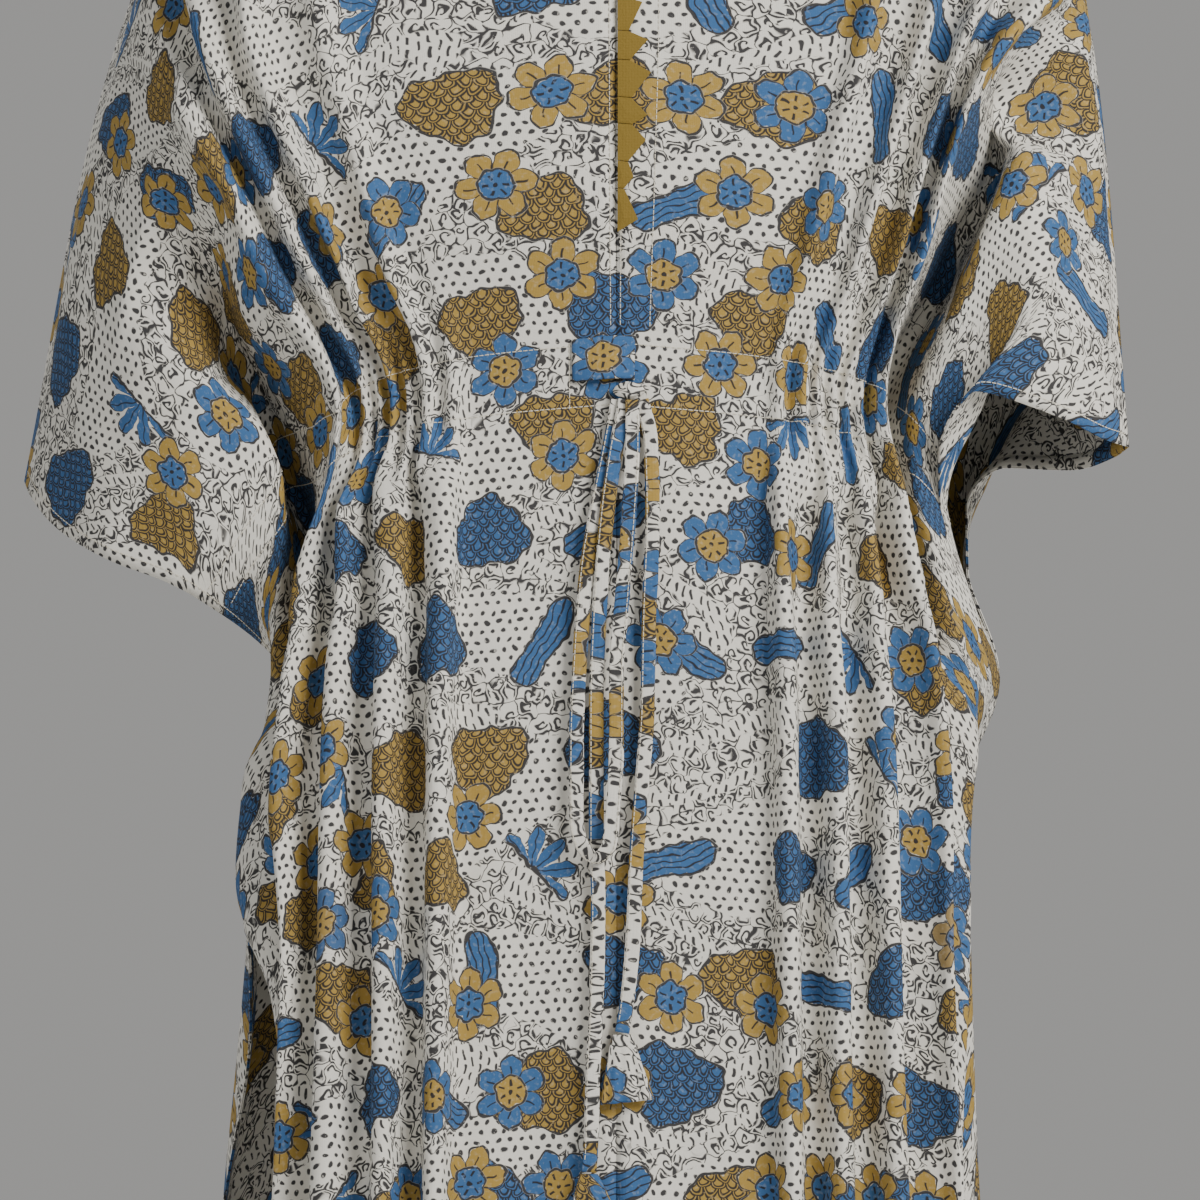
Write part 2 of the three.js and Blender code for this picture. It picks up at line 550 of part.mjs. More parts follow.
const FRONT = {
  name: "front",
  face: -1,
  rows: { left: FRONT_LEFT, right: FRONT_RIGHT },
  folds: { left: FRONT_LEFT_FOLDS, right: FRONT_RIGHT_FOLDS },
};
const BACK = {
  name: "back",
  face: 1,
  rows: { left: BACK_LEFT, right: BACK_RIGHT },
  folds: { left: BACK_FOLDS, right: BACK_FOLDS },
};

// Points on the outside of the front near its centre, moved out.
function onFront(out, drop, lift) {
  const side = out < 0 ? "left" : "right";
  const guide = (Math.abs(out) / guideTable(FRONT, drop)[1].out) * GATHER_IN;
  const point = surfacePoint(FRONT, side, guide, drop);
  return point.addScaledVector(baseNormal(FRONT, side, guide, drop), lift);
}
function pointGeometry(i) {
  const gap = SEAM_GAP / 2;
  const before = POINT_NOTCHES[i];
  const after = POINT_NOTCHES[i + 1];
  const tip = POINT_TIPS[i];
  const lift = POINT_LIFT + POINT_THICKNESS;
  const corners = [
    [POINT_START, before.drop + gap],
    [before.out, before.drop + gap],
    [tip.out, tip.drop],
    [after.out, after.drop - gap],
    [POINT_START, after.drop - gap],
  ];
  const points = corners.map(([out, drop]) => onFront(out, drop, lift));
  const hub = points.push(onFront(tip.out / 3, tip.drop, lift)) - 1;
  const faces = corners.map((_, k) => [hub, (k + 1) % corners.length, k]);
  return wallGeometry(points, faces, POINT_THICKNESS);
}
function flapGeometry() {
  const columns = 6;
  const rows = 4;
  const points = [];
  const faces = [];
  for (let i = 0; i <= rows; i += 1)
    for (let j = 0; j <= columns; j += 1) {
      const out = mix(FLAP.left, FLAP.right, j / columns);
      const drop = mix(FLAP.top, FLAP.bottom, i / rows);
      const bulge = FLAP.bulge * Math.sin((Math.PI * j) / columns) * smooth(i / rows);
      points.push(onFront(out, drop, FLAP.lift + FLAP.thickness + bulge));
    }
  for (let i = 0; i < rows; i += 1)
    for (let j = 0; j < columns; j += 1) {
      const a = i * (columns + 1) + j;
      faces.push([a, a + columns + 1, a + columns + 2, a + 1]);
    }
  return wallGeometry(points, faces, FLAP.thickness);
}

// Where something hangs in front of the middle of the front panel.
function hanging([x, z, off]) {
  const y = follow(valuesOf(FRONT_LEFT, "drop"), FRONT_LEFT.map((r) => r.start[1]), -z);
  return new THREE.Vector3(x, y - SEAM_GAP / 2 - off, z);
}
// A flat tube along its places, its width square to its run and its face to the front.
function ribbonGeometry(places, stepLength) {
  const curve = new THREE.CatmullRomCurve3(places.map(hanging), false, "centripetal");
  const steps = Math.round(curve.getLength() / stepLength);
  const points = [];
  const faces = [];
  for (let i = 0; i <= steps; i += 1) {
    const middle = curve.getPointAt(i / steps);
    const run = curve.getTangentAt(i / steps);
    const face = new THREE.Vector3(0, -1, -TIE_LEAN * Math.abs(run.x));
    face.addScaledVector(run, -face.dot(run)).normalize();
    const across = new THREE.Vector3().crossVectors(run, face);
    middle.addScaledVector(face, TIE_THICKNESS / 2);
    for (const share of [-0.5, 0, 0.5])
      points.push(middle.clone().addScaledVector(across, share * TIE_WIDTH));
    if (i === 0) continue;
    const k = 3 * i;
    faces.push([k - 3, k, k + 1, k - 2], [k - 2, k + 1, k + 2, k - 1]);
  }
  return wallGeometry(points, faces, TIE_THICKNESS);
}
function endGeometry(end) {
  const shape = new THREE.Shape([
    new THREE.Vector2(-end.topWidth / 2, 0),
    new THREE.Vector2(-end.footWidth / 2 + end.lean, -end.height),
    new THREE.Vector2(end.footWidth / 2 + end.lean, -end.height * TIE_END_TURN),
    new THREE.Vector2(end.topWidth / 2, 0),
  ]);
  const geometry = new THREE.ExtrudeGeometry(shape, { depth: 1, bevelEnabled: false, steps: 1 });
  const place = geometry.getAttribute("position");
  for (let i = 0; i < place.count; i += 1) {
    const down = clamp(-place.getY(i) / end.height, 0, 1);
    const thick = mix(TIE_END_THICKNESS.top, TIE_END_THICKNESS.foot, down);
    const at = hanging([end.x + place.getX(i), end.top + place.getY(i), end.off]);
    place.setXYZ(i, at.x, at.y + (0.5 - place.getZ(i)) * thick, at.z);
  }
  geometry.deleteAttribute("normal");
  geometry.deleteAttribute("uv");
  return geometry;
}
function knotGeometry() {
  const geometry = new THREE.CapsuleGeometry(TIE_KNOT.radius, TIE_KNOT.width - 2 * TIE_KNOT.radius, 4, 12);
  geometry.rotateZ(Math.PI / 2);
  const middle = hanging([TIE_KNOT.x, TIE_KNOT.z, TIE_KNOT.off]);
  return geometry.translate(middle.x, middle.y, middle.z);
}

const kaftan = new THREE.Group();
function add(name, geometry, material) {
  const mesh = new THREE.Mesh(geometry, material);
  mesh.name = name;
  kaftan.add(mesh);
}

add("front_panel", panelGeometry(FRONT, ROWS_FRONT, FRONT_STEPS, PLACKET_END_DROP), COTTON);
add("back_panel", panelGeometry(BACK, ROWS_BACK, BACK_STEPS, BACK_NECK_DROP - 1), COTTON);
POINT_TIPS.forEach((_, i) => add(`trim_point_${i + 1}`, pointGeometry(i), MUSTARD));
add("casing_flap", flapGeometry(), COTTON);
add("tie_knot", knotGeometry(), COTTON);
add("tie_loop", ribbonGeometry(TIE_LOOP, 14), COTTON);
add("tie_tail_left", ribbonGeometry(TIE_TAIL_LEFT, 16), COTTON);
add("tie_tail_right", ribbonGeometry(TIE_TAIL_RIGHT, 16), COTTON);
add("tie_end_left", endGeometry(TIE_END_LEFT), COTTON);
add("tie_end_right", endGeometry(TIE_END_RIGHT), COTTON);

export default kaftan;
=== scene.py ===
# %% [markdown]
# # A drawstring kaftan of block-printed cotton
# The garment is one wide front and one wide back, joined along the shoulders and down two short side
# seams. A drawstring gathers it at the waist. This lesson lays cloth over the frame of the packed
# model, prints it, hems it, and hangs the drawstring in front.

# %% Load the frame
import math

import bmesh
import bpy
import numpy as np
from mathutils import Matrix, Vector


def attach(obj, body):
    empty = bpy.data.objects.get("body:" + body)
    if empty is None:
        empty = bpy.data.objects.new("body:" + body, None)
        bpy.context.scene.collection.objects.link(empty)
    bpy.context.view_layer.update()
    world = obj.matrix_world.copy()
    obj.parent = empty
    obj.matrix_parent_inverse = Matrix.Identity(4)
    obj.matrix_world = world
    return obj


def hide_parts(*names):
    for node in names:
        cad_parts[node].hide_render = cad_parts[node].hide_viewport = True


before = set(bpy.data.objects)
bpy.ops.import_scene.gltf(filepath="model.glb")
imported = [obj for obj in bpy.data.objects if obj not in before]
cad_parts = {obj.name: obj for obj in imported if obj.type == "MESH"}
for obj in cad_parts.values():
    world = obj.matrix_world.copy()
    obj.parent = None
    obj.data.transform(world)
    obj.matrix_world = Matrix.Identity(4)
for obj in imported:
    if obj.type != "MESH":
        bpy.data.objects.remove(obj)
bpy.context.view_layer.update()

print("nodes in the frame:", len(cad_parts))

# %% [markdown]
# ## The camera
# The picture is taken square on from the front, level with the hanging drawstring, from so far away that
# the two sleeves look alike. The lens is worked out from how wide the picture is at the garment.

# %% Point the camera
PICTURE_CENTRE = Vector((-0.009, 0, -0.559))
PICTURE_WIDTH = 0.696
CAMERA_DISTANCE = 2.6
SENSOR = 36


def make_camera():
    data = bpy.data.cameras.new("camera")
    data.sensor_width = SENSOR
    data.lens = SENSOR * CAMERA_DISTANCE / PICTURE_WIDTH
    camera = bpy.data.objects.new("camera", data)
    camera.location = PICTURE_CENTRE - Vector((0, CAMERA_DISTANCE, 0))
    camera.rotation_euler = (math.pi / 2, 0, 0)
    bpy.context.scene.collection.objects.link(camera)
    bpy.context.scene.camera = camera
    return camera


camera = make_camera()
print("lens", round(camera.data.lens, 1), "mm")

# %% [markdown]
# ## The cut
# These are the sizes of the flat cloth in millimetres. "Out" is measured from the centre line and
# "drop" down from the neck end of the shoulder seam. A line across the cloth that starts at some drop
# on the centre line ends at the side edge, where the table says.

# %% The sizes of the cut
NECK_HALF = 72
NOTCH_DROP = 218
BACK_NECK_DROP = 24
CASING_DROP = 430
UNDERARM_DROP = 525
SLIT_TOP_DROP = 625
CENTRE_LENGTH = 1240
PLACKET_END_DROP = 390
SEAM_GAP = 0.3
PLACKET_GAP = 0.3

# drop, drop at the side edge, out at the side edge
SIDE_EDGE = np.array([
    [0, 235, 590],
    [CASING_DROP, CASING_DROP, 500],
    [UNDERARM_DROP, UNDERARM_DROP, 455],
    [SLIT_TOP_DROP, SLIT_TOP_DROP, 425],
    [CENTRE_LENGTH, 1155, 425],
])
# drop, out
NECKLINE = np.array([[0, NECK_HALF], [70, 70], [140, 60], [190, 36], [211, 12], [NOTCH_DROP, 0]])
GATHER_IN = 0.12
GATHER_OUT = 0.52
# drop, out of the two guide lines beside the gathers
GUIDE_LINES = np.array([
    [0, 118, 350],
    [CASING_DROP, 82, 238],
    [SLIT_TOP_DROP, 84, 256],
    [CENTRE_LENGTH, 92, 266],
])
# drop, then how far from the centre these lines hang across the form: inner, outer left, outer right
HUNG = np.array([
    [0, 118, 350, 350],
    [110, 124, 312, 290],
    [218, 122, 258, 222],
    [320, 102, 205, 182],
    [CASING_DROP, 84, 165, 152],
    [UNDERARM_DROP, 83, 170, 162],
    [SLIT_TOP_DROP, 84, 178, 172],
    [840, 86, 176, 176],
    [CENTRE_LENGTH, 92, 196, 196],
])
print("the cloth is", 2 * SIDE_EDGE[:, 2].max(), "mm wide from sleeve to sleeve")

# %% [markdown]
# ## The form in which it hangs
# Each row of these tables is one line across the cloth. It names four places on it: its start at the
# neckline or centre, the flank, the top of the sleeve, and the side edge. One sleeve is pushed further
# forward than the other, so each side has its own table.

# %% The rows of the hanging form
# drop, y and z of the start, then flank, sleeve and edge as x, y, z
FRONT_LEFT = np.array([
    [0, 0, 0, 200, 0, -58, 295, 0, -254, 343, 0, -490],
    [40, -32, -24, 199, -38, -72, 292, -30, -288, 336, -24, -500],
    [110, -82, -92, 195, -80, -132, 282, -62, -346, 318, -52, -518],
    [218, -118, -218, 186, -108, -232, 260, -92, -426, 284, -82, -537],
    [320, -120, -320, 165, -100, -345, 234, -98, -484, 252, -88, -549],
    [430, -110, -430, 142, -80, -453, 202, -88, -520, 230, -76, -562],
    [525, -118, -525, 148, -94, -545, 192, -66, -598, 189, 0, -614],
    [625, -128, -625, 152, -106, -644, 206, -68, -712, 213, 0, -733],
    [720, -134, -720, 154, -116, -738, 180, -92, -784, 168, -56, -800],
    [840, -140, -840, 158, -122, -856, 170, -98, -886, 158, -62, -905],
    [1240, -152, -1240, 186, -138, -1246, 224, -104, -1254, 200, -60, -1262],
])
FRONT_RIGHT = np.array([
    [0, 0, 0, 198, -2, -58, 277, -16, -250, 292, -50, -472],
    [40, -32, -24, 197, -40, -72, 272, -50, -284, 280, -72, -470],
    [110, -82, -92, 192, -82, -132, 258, -86, -326, 248, -96, -457],
    [218, -118, -218, 182, -110, -232, 232, -110, -388, 200, -106, -443],
    [320, -120, -320, 165, -100, -345, 206, -90, -448, 181, -82, -476],
    [430, -110, -430, 144, -80, -453, 186, -66, -502, 184, -60, -524],
    [525, -118, -525, 150, -94, -545, 204, -56, -592, 223, 0, -604],
    [625, -128, -625, 152, -106, -642, 190, -66, -672, 194, 0, -682],
    [720, -134, -720, 154, -116, -735, 186, -86, -762, 180, -54, -772],
    [840, -140, -840, 156, -122, -852, 182, -94, -868, 172, -60, -872],
    [1240, -152, -1240, 182, -138, -1246, 214, -102, -1252, 188, -60, -1258],
])
BACK_LEFT = np.array([
    [0, 0, 0, 200, 0, -58, 295, 0, -254, 343, 0, -490],
    [24, 60, -18, 199, 24, -66, 293, 20, -272, 339, 14, -497],
    [110, 84, -98, 195, 80, -132, 282, 64, -346, 322, 48, -514],
    [218, 96, -206, 186, 100, -232, 262, 90, -426, 292, 76, -530],
    [320, 92, -308, 165, 92, -345, 238, 94, -484, 258, 80, -546],
    [430, 82, -418, 142, 74, -453, 206, 84, -522, 234, 68, -562],
    [525, 94, -512, 150, 90, -545, 194, 60, -598, 189, 0, -614],
    [625, 106, -612, 156, 102, -644, 208, 64, -712, 213, 0, -733],
    [720, 112, -708, 164, 110, -740, 214, 74, -794, 214, 18, -812],
    [840, 118, -828, 172, 116, -858, 224, 78, -898, 230, 16, -918],
    [1240, 132, -1232, 196, 130, -1244, 252, 84, -1256, 258, 14, -1264],
])
BACK_RIGHT = np.array([
    [0, 0, 0, 198, -2, -58, 277, -16, -250, 292, -50, -472],
    [24, 60, -18, 197, 22, -66, 276, 4, -268, 286, -38, -477],
    [110, 84, -98, 192, 78, -132, 268, 36, -338, 264, -8, -484],
    [218, 96, -206, 182, 96, -232, 246, 58, -420, 228, 20, -482],
    [320, 92, -308, 165, 90, -345, 224, 62, -476, 206, 22, -504],
    [430, 82, -418, 144, 72, -453, 206, 56, -530, 206, 14, -542],
    [525, 94, -512, 152, 90, -545, 208, 50, -594, 223, 0, -604],
    [625, 106, -612, 156, 102, -642, 194, 62, -674, 194, 0, -682],
    [720, 112, -708, 162, 110, -736, 198, 72, -768, 194, 18, -778],
    [840, 118, -828, 168, 116, -848, 202, 76, -876, 199, 16, -888],
    [1240, 132, -1232, 188, 128, -1244, 232, 82, -1256, 230, 14, -1262],
])
print("rows of the front:", len(FRONT_LEFT), "and of the back:", len(BACK_LEFT))

# %% [markdown]
# ## The folds
# Cloth that has no room lies in folds. Each fold runs down along the guide lines, and is either a
# ridge or a valley. The gathers are short pleats that open above and below the waist casing. All of
# them are slopes, so the cloth's length across never changes.

# %% The folds and the gathers
# top guide, from drop, foot guide, to drop, half width, lift
FRONT_LEFT_FOLDS = np.array([
    [0.69, 80, 0.73, 540, 0.11, -0.5],
    [0.72, 290, 0.73, 540, 0.12, -0.6],
    [0.54, 40, 0.55, 520, 0.06, 0.75],
    [0.43, 60, 0.43, 400, 0.06, 0.7],
    [0.32, 30, 0.31, 390, 0.055, 0.65],
    [0.2, 170, 0.2, 380, 0.04, 0.45],
    [0.06, 500, 0.06, 1400, 0.04, -0.35],
    [0.17, 490, 0.17, 1400, 0.055, 1.3],
    [0.29, 490, 0.29, 1400, 0.065, 1.3],
    [0.43, 490, 0.43, 1400, 0.07, 1.25],
    [0.59, 480, 0.59, 1400, 0.085, 0.75],
    [0.8, 560, 0.8, 1400, 0.09, 0.3],
])
FRONT_RIGHT_FOLDS = np.array([
    [0.65, 60, 0.7, 530, 0.11, -0.6],
    [0.68, 240, 0.7, 530, 0.12, -0.5],
    [0.5, 40, 0.53, 520, 0.06, 0.75],
    [0.38, 50, 0.4, 400, 0.06, 0.7],
    [0.26, 60, 0.27, 390, 0.05, 0.6],
    [0.16, 180, 0.16, 380, 0.035, 0.45],
    [0.05, 500, 0.05, 1400, 0.035, -0.3],
    [0.16, 490, 0.15, 1400, 0.05, 1.2],
    [0.27, 490, 0.26, 1400, 0.06, 1.25],
    [0.4, 490, 0.4, 1400, 0.07, 1.3],
    [0.56, 480, 0.56, 1400, 0.085, 0.95],
    [0.78, 560, 0.78, 1400, 0.09, 0.3],
])
BACK_FOLDS = np.array([
    [0.68, 80, 0.71, 540, 0.11, -0.5],
    [0.7, 290, 0.71, 540, 0.12, -0.5],
    [0.52, 50, 0.54, 520, 0.06, 0.75],
    [0.4, 70, 0.41, 400, 0.06, 0.7],
    [0.27, 90, 0.28, 390, 0.055, 0.6],
    [0.05, 520, 0.05, 1400, 0.04, 0.3],
    [0.16, 490, 0.15, 1400, 0.05, 1.15],
    [0.28, 490, 0.28, 1400, 0.065, 1.25],
    [0.42, 490, 0.42, 1400, 0.07, 1.2],
    [0.58, 480, 0.58, 1400, 0.085, 0.8],
    [0.79, 560, 0.79, 1400, 0.09, 0.35],
])
# share of the width, reach up, reach down, lift
PLEATS = np.array([
    [0.9, 70, 80, 0.7],
    [1.1, 120, 170, 0.85],
    [0.9, 90, 120, 0.85],
    [1.2, 150, 190, 0.9],
    [0.9, 80, 120, 0.85],
    [1.1, 130, 150, 0.85],
    [0.9, 70, 90, 0.75],
])
FOLD_FADE = 80
STEEPEST = 0.97
FOLD_SHARPNESS = 0.6
SEAM_CALM = 40
print("folds of the front:", len(FRONT_LEFT_FOLDS), "and", len(FRONT_RIGHT_FOLDS))

# %% [markdown]
# ## Curves through the tables
# A monotone cubic never swings past its points, so a form that is given by a few rows stays smooth
# without bumps of its own. It works on one number or on a whole row of them at once.

# %% The curve and the smooth step
def smooth(x):
    f = np.clip(x, 0, 1)
    return f * f * (3 - 2 * f)


def gone_along(points):
    """How far each point is along the line from the first."""
    return np.append(0, np.cumsum(np.linalg.norm(np.diff(points, axis=0), axis=1)))


def points_at(at, lengths, points):
    """Points, or normals, at the given lengths along a line."""
    return np.stack([np.interp(at, lengths, points[:, k]) for k in range(3)], axis=1)


def follow(knots, values, x):
    """A monotone cubic through the values at the knots, read at x."""
    knots = np.asarray(knots, float)
    values = np.asarray(values, float).reshape(len(knots), -1)
    gaps = np.diff(knots)[:, None]
    rises = np.diff(values, axis=0) / gaps
    slopes = np.vstack([rises[:1], np.zeros((max(0, len(knots) - 2), values.shape[1])), rises[-1:]])
    a = 2 * gaps[1:] + gaps[:-1]
    b = gaps[1:] + 2 * gaps[:-1]
    alike = rises[:-1] * rises[1:] > 0
    safe = np.where(alike, rises[:-1], 1), np.where(alike, rises[1:], 1)
    slopes[1:-1] = np.where(alike, (a + b) / (a / safe[0] + b / safe[1]), 0)
    at = np.clip(np.atleast_1d(x), knots[0], knots[-1])
    k = np.clip(np.searchsorted(knots, at) - 1, 0, len(gaps) - 1)
    g = gaps[k]
    f = (at[:, None] - knots[k][:, None]) / g
    f2, f3 = f * f, f * f * f
    curve = (2 * f3 - 3 * f2 + 1) * values[k] + (f3 - 2 * f2 + f) * g * slopes[k]
    curve += (3 * f2 - 2 * f3) * values[k + 1] + (f3 - f2) * g * slopes[k + 1]
    return curve[:, 0] if values.shape[1] == 1 else curve


def read(table, drops):
    """The other columns of a table whose first column is the drop."""
    return follow(table[:, 0], table[:, 1:], drops)


print("out at the casing's end:", read(SIDE_EDGE, CASING_DROP)[0, 1])

# %% [markdown]
# ## One line across the cloth
# First comes the line that the cloth would follow if it had no folds. Then the folds take up the
# cloth that this line has no room for: their slopes are scaled until the length fits.

# %% The base line
SAMPLES = 120
ROUNDING = np.array([0.6, 0.22, 0.36])
SIGN = {"left": -1, "right": 1}
# The print shift says where on the printed length a panel was cut, in metres.
FRONT = {
    "name": "front", "face": -1, "print_shift": (0, 0),
    "rows": {"left": FRONT_LEFT, "right": FRONT_RIGHT},
    "folds": {"left": FRONT_LEFT_FOLDS, "right": FRONT_RIGHT_FOLDS},
}
BACK = {
    "name": "back", "face": 1, "print_shift": (0.412, 1.37),
    "rows": {"left": BACK_LEFT, "right": BACK_RIGHT},
    "folds": {"left": BACK_FOLDS, "right": BACK_FOLDS},
}


def start_out(cloth, drop):
    if cloth["face"] < 0:
        return 0 if drop >= NOTCH_DROP else read(NECKLINE, drop)[0]
    return NECK_HALF * math.sqrt(1 - min(1, drop / BACK_NECK_DROP) ** 2)


def guide_outs(cloth, drop):
    return [start_out(cloth, drop), *read(GUIDE_LINES, drop)[0], read(SIDE_EDGE, drop)[0, 1]]


def base_line(cloth, side, drop):
    values = read(cloth["rows"][side], drop)[0]
    start = np.array([start_out(cloth, drop), *values[:2]])
    flank, sleeve, edge = values[2:].reshape(3, 3)
    stations = np.array([start, start + (flank - start) * ROUNDING, flank, sleeve, edge])
    gone = gone_along(stations)
    points = follow(gone, stations, np.linspace(0, gone[-1], SAMPLES + 1))
    return points, gone_along(points)


def along(base, shares):
    points, lengths = base
    return points_at(shares * lengths[-1], lengths, points)


print("the line at the casing is", round(base_line(FRONT, "left", CASING_DROP)[1][-1]), "mm long")

# %% The slopes of the folds
STEPS = 300
MIDDLES = (np.arange(STEPS) + 0.5) / STEPS
ENDS = np.arange(STEPS + 1) / STEPS
PLEAT_EDGES = np.append(0, np.cumsum(PLEATS[:, 0])) / PLEATS[:, 0].sum()
PLEAT_EDGES = GATHER_IN + (GATHER_OUT - GATHER_IN) * PLEAT_EDGES
GUIDES = (0, GATHER_IN, GATHER_OUT, 1)
REGIONS = [round(guide * STEPS) for guide in GUIDES]


def ridge_slope(x):
    wave = np.where(np.abs(x) < 1, np.sin(np.pi * x), 0)
    return wave * math.hypot(1, FOLD_SHARPNESS) / np.hypot(wave, FOLD_SHARPNESS)


def fold_slopes(folds, drop):
    total = np.zeros(STEPS)
    for top, start, foot, end, half, lift in folds:
        middle = top + (foot - top) * (drop - start) / (end - start)
        fade = smooth((drop - start) / FOLD_FADE + 0.5) * smooth((end - drop) / FOLD_FADE + 0.5)
        total += fade * lift * ridge_slope((MIDDLES - middle) / half)
    return total


def pleat_slopes(drop):
    total = np.zeros(STEPS)
    for k, (_, up, down, lift) in enumerate(PLEATS):
        left, right = PLEAT_EDGES[k : k + 2]
        fade = 1 - smooth(abs(drop - CASING_DROP) / (up if drop < CASING_DROP else down))
        inside = (MIDDLES >= left) & (MIDDLES < right)
        total += np.where(inside, fade * lift * ridge_slope(2 * (MIDDLES - left) / (right - left) - 1), 0)
    return total


print("pleats in the gathers:", len(PLEATS))


# %% The folded line
FOLD_SCALE = (0.1, 1.8)
HALVINGS = 14


def fit_slopes(steps, large, small, target):
    low, high = FOLD_SCALE
    for _ in range(HALVINGS):
        scale = (low + high) / 2
        slope = np.clip(scale * large + small, -STEEPEST, STEEPEST)
        runs = steps * np.sqrt(1 - slope**2)
        if runs.sum() > target:
            low = scale
        else:
            high = scale
    return runs * target / runs.sum(), steps * slope


def folded_line(cloth, side, drop):
    base = base_line(cloth, side, drop)
    guide_values = guide_outs(cloth, drop)
    outs = follow(GUIDES, guide_values, ENDS)
    fall = read(SIDE_EDGE, drop)[0, 0] - drop
    slant = math.hypot(1, fall / (outs[-1] - outs[0]))
    steps = slant * np.diff(outs)
    out = follow(GUIDES, guide_values, MIDDLES)
    calm = smooth((outs[-1] - out) / SEAM_CALM) * smooth(drop / SEAM_CALM)
    large = calm * fold_slopes(cloth["folds"][side], drop)
    small = calm * pleat_slopes(drop)
    hung = slant * (read(HUNG, drop)[0] - outs[0])
    targets = np.diff([0, hung[0], hung[1 if side == "left" else 2], base[1][-1]])
    runs, rises = [0], [0]
    for k, target in enumerate(targets):
        part = slice(REGIONS[k], REGIONS[k + 1])
        run, rise = fit_slopes(steps[part], large[part], small[part], target)
        runs.extend(run)
        rises.extend(rise)
    reach, depth = np.cumsum(runs), np.cumsum(rises)
    return {"base": base, "share": reach / reach[-1], "depth": depth - depth[-1] * ENDS, "outs": outs}


line = folded_line(FRONT, "left", CASING_DROP)
print("at the casing", round(line["outs"][-1]), "mm of cloth fill", round(line["base"][1][-1]), "mm")

# %% [markdown]
# ## The surface of a panel
# Many folded lines, one below the other, make a panel. Each point stands off its base line along the
# normal of the base form. A little more relief is added here than the solid has: puckers at the waist
# casing, soft creases in the sleeves, and slack between the folds. The same pass measures how much
# cloth lies between the rows, which later places the print.

# %% Rows and columns
ROW_STEP = 8
NORMAL_REACH = 14
PUCKER_REACH = 46
PUCKER_DEPTH = 1.1
CREASE_DEPTH = 2.2
CREASES_END, CREASES_FADE = 520, 120
SLACK_DEPTH, SLACK_FROM = 0.9, 80
EDGE_CALM = 25
WAVE_SEEDS = {"left": 11, "right": 23}
SMOOTHED_OVER = 15
COLUMNS = {"inner": 12, "gather": 70, "outer": 44}


def rows_for(extra):
    return np.unique(np.concatenate([np.arange(0, CENTRE_LENGTH, ROW_STEP), [CENTRE_LENGTH], extra]))


def guides_across(steps):
    inner = np.linspace(0, GATHER_IN, steps["inner"] + 1)
    gather = np.linspace(GATHER_IN, GATHER_OUT, steps["gather"] + 1)[1:]
    outer = np.linspace(GATHER_OUT, 1, steps["outer"] + 1)[1:]
    return np.concatenate([inner, gather, outer])


AT_CASING = np.arange(405, 462.5, 2.5)
FRONT_ROWS = rows_for([*AT_CASING, 4, 12, NOTCH_DROP, PLACKET_END_DROP, UNDERARM_DROP, SLIT_TOP_DROP])
BACK_ROWS = rows_for([*AT_CASING, 4, 12, 18, 22, BACK_NECK_DROP, UNDERARM_DROP, SLIT_TOP_DROP])
ACROSS = guides_across(COLUMNS)
print("a front half has", len(FRONT_ROWS), "rows of", len(ACROSS), "points")


# %% Puckers, creases and slack
def waves(seed, across, down, bend):
    """A few long waves in two directions, from -1 to 1, the same on each run."""
    chance = np.random.default_rng(seed)
    total = 0
    for k in range(5):
        turn, push = chance.uniform(0, 2 * math.pi, 2)
        swing = np.sin(down * chance.uniform(0.5, 1.5) + turn) * bend
        total = total + np.sin(across * (1 + 0.37 * k) + swing + push) / 5
    return total


def small_relief(side, guides, drop, outs):
    seed = WAVE_SEEDS[side]
    near = np.exp(-(((drop - CASING_DROP) / PUCKER_REACH) ** 2))
    gather = smooth((guides - GATHER_IN + 0.04) / 0.06) * smooth((0.8 - guides) / 0.2)
    puckers = near * gather * PUCKER_DEPTH * waves(seed, guides * 260, drop / 30, 1.4)
    sleeve = smooth((guides - 0.45) / 0.2) * smooth((CREASES_END - drop) / CREASES_FADE) * smooth(drop / 60)
    creases = sleeve * CREASE_DEPTH * waves(seed + 1, guides * 16 - drop / 70, drop / 60, 1.2)
    slack = smooth(drop / SLACK_FROM) * waves(seed + 2, guides * 34 + drop / 160, drop / 90, 1.5)
    edge = smooth((outs[-1] - outs) / EDGE_CALM)
    return edge * (puckers + creases + SLACK_DEPTH * slack)


print("puckers reach", PUCKER_DEPTH, "mm and creases", CREASE_DEPTH, "mm off the folds")


# %% The points of half a panel
def half_panel(cloth, side, rows):
    mirror = np.array([SIGN[side], 1, 1])
    turn = SIGN[side] * cloth["face"]
    places, outs = [], []
    for drop in rows:
        line = folded_line(cloth, side, drop)
        share = np.interp(ACROSS, ENDS, line["share"])
        near = NORMAL_REACH / line["base"][1][-1]
        above = base_line(cloth, side, max(0, drop - NORMAL_REACH))
        below = base_line(cloth, side, min(CENTRE_LENGTH, drop + NORMAL_REACH))
        ahead, behind = np.minimum(1, share + near), np.maximum(0, share - near)
        across = along(line["base"], ahead) - along(line["base"], behind)
        normal = np.cross(across * mirror, (along(below, share) - along(above, share)) * mirror) * turn
        normal /= np.linalg.norm(normal, axis=1)[:, None]
        out = np.interp(ACROSS, ENDS, line["outs"])
        lift = small_relief(side, ACROSS, drop, out) - np.interp(ACROSS, ENDS, line["depth"])
        place = along(line["base"], share) * mirror + normal * lift[:, None]
        place[:, 1] += cloth["face"] * SEAM_GAP / 2
        places.append(place)
        outs.append(out)
    return np.array(places), np.array(outs)


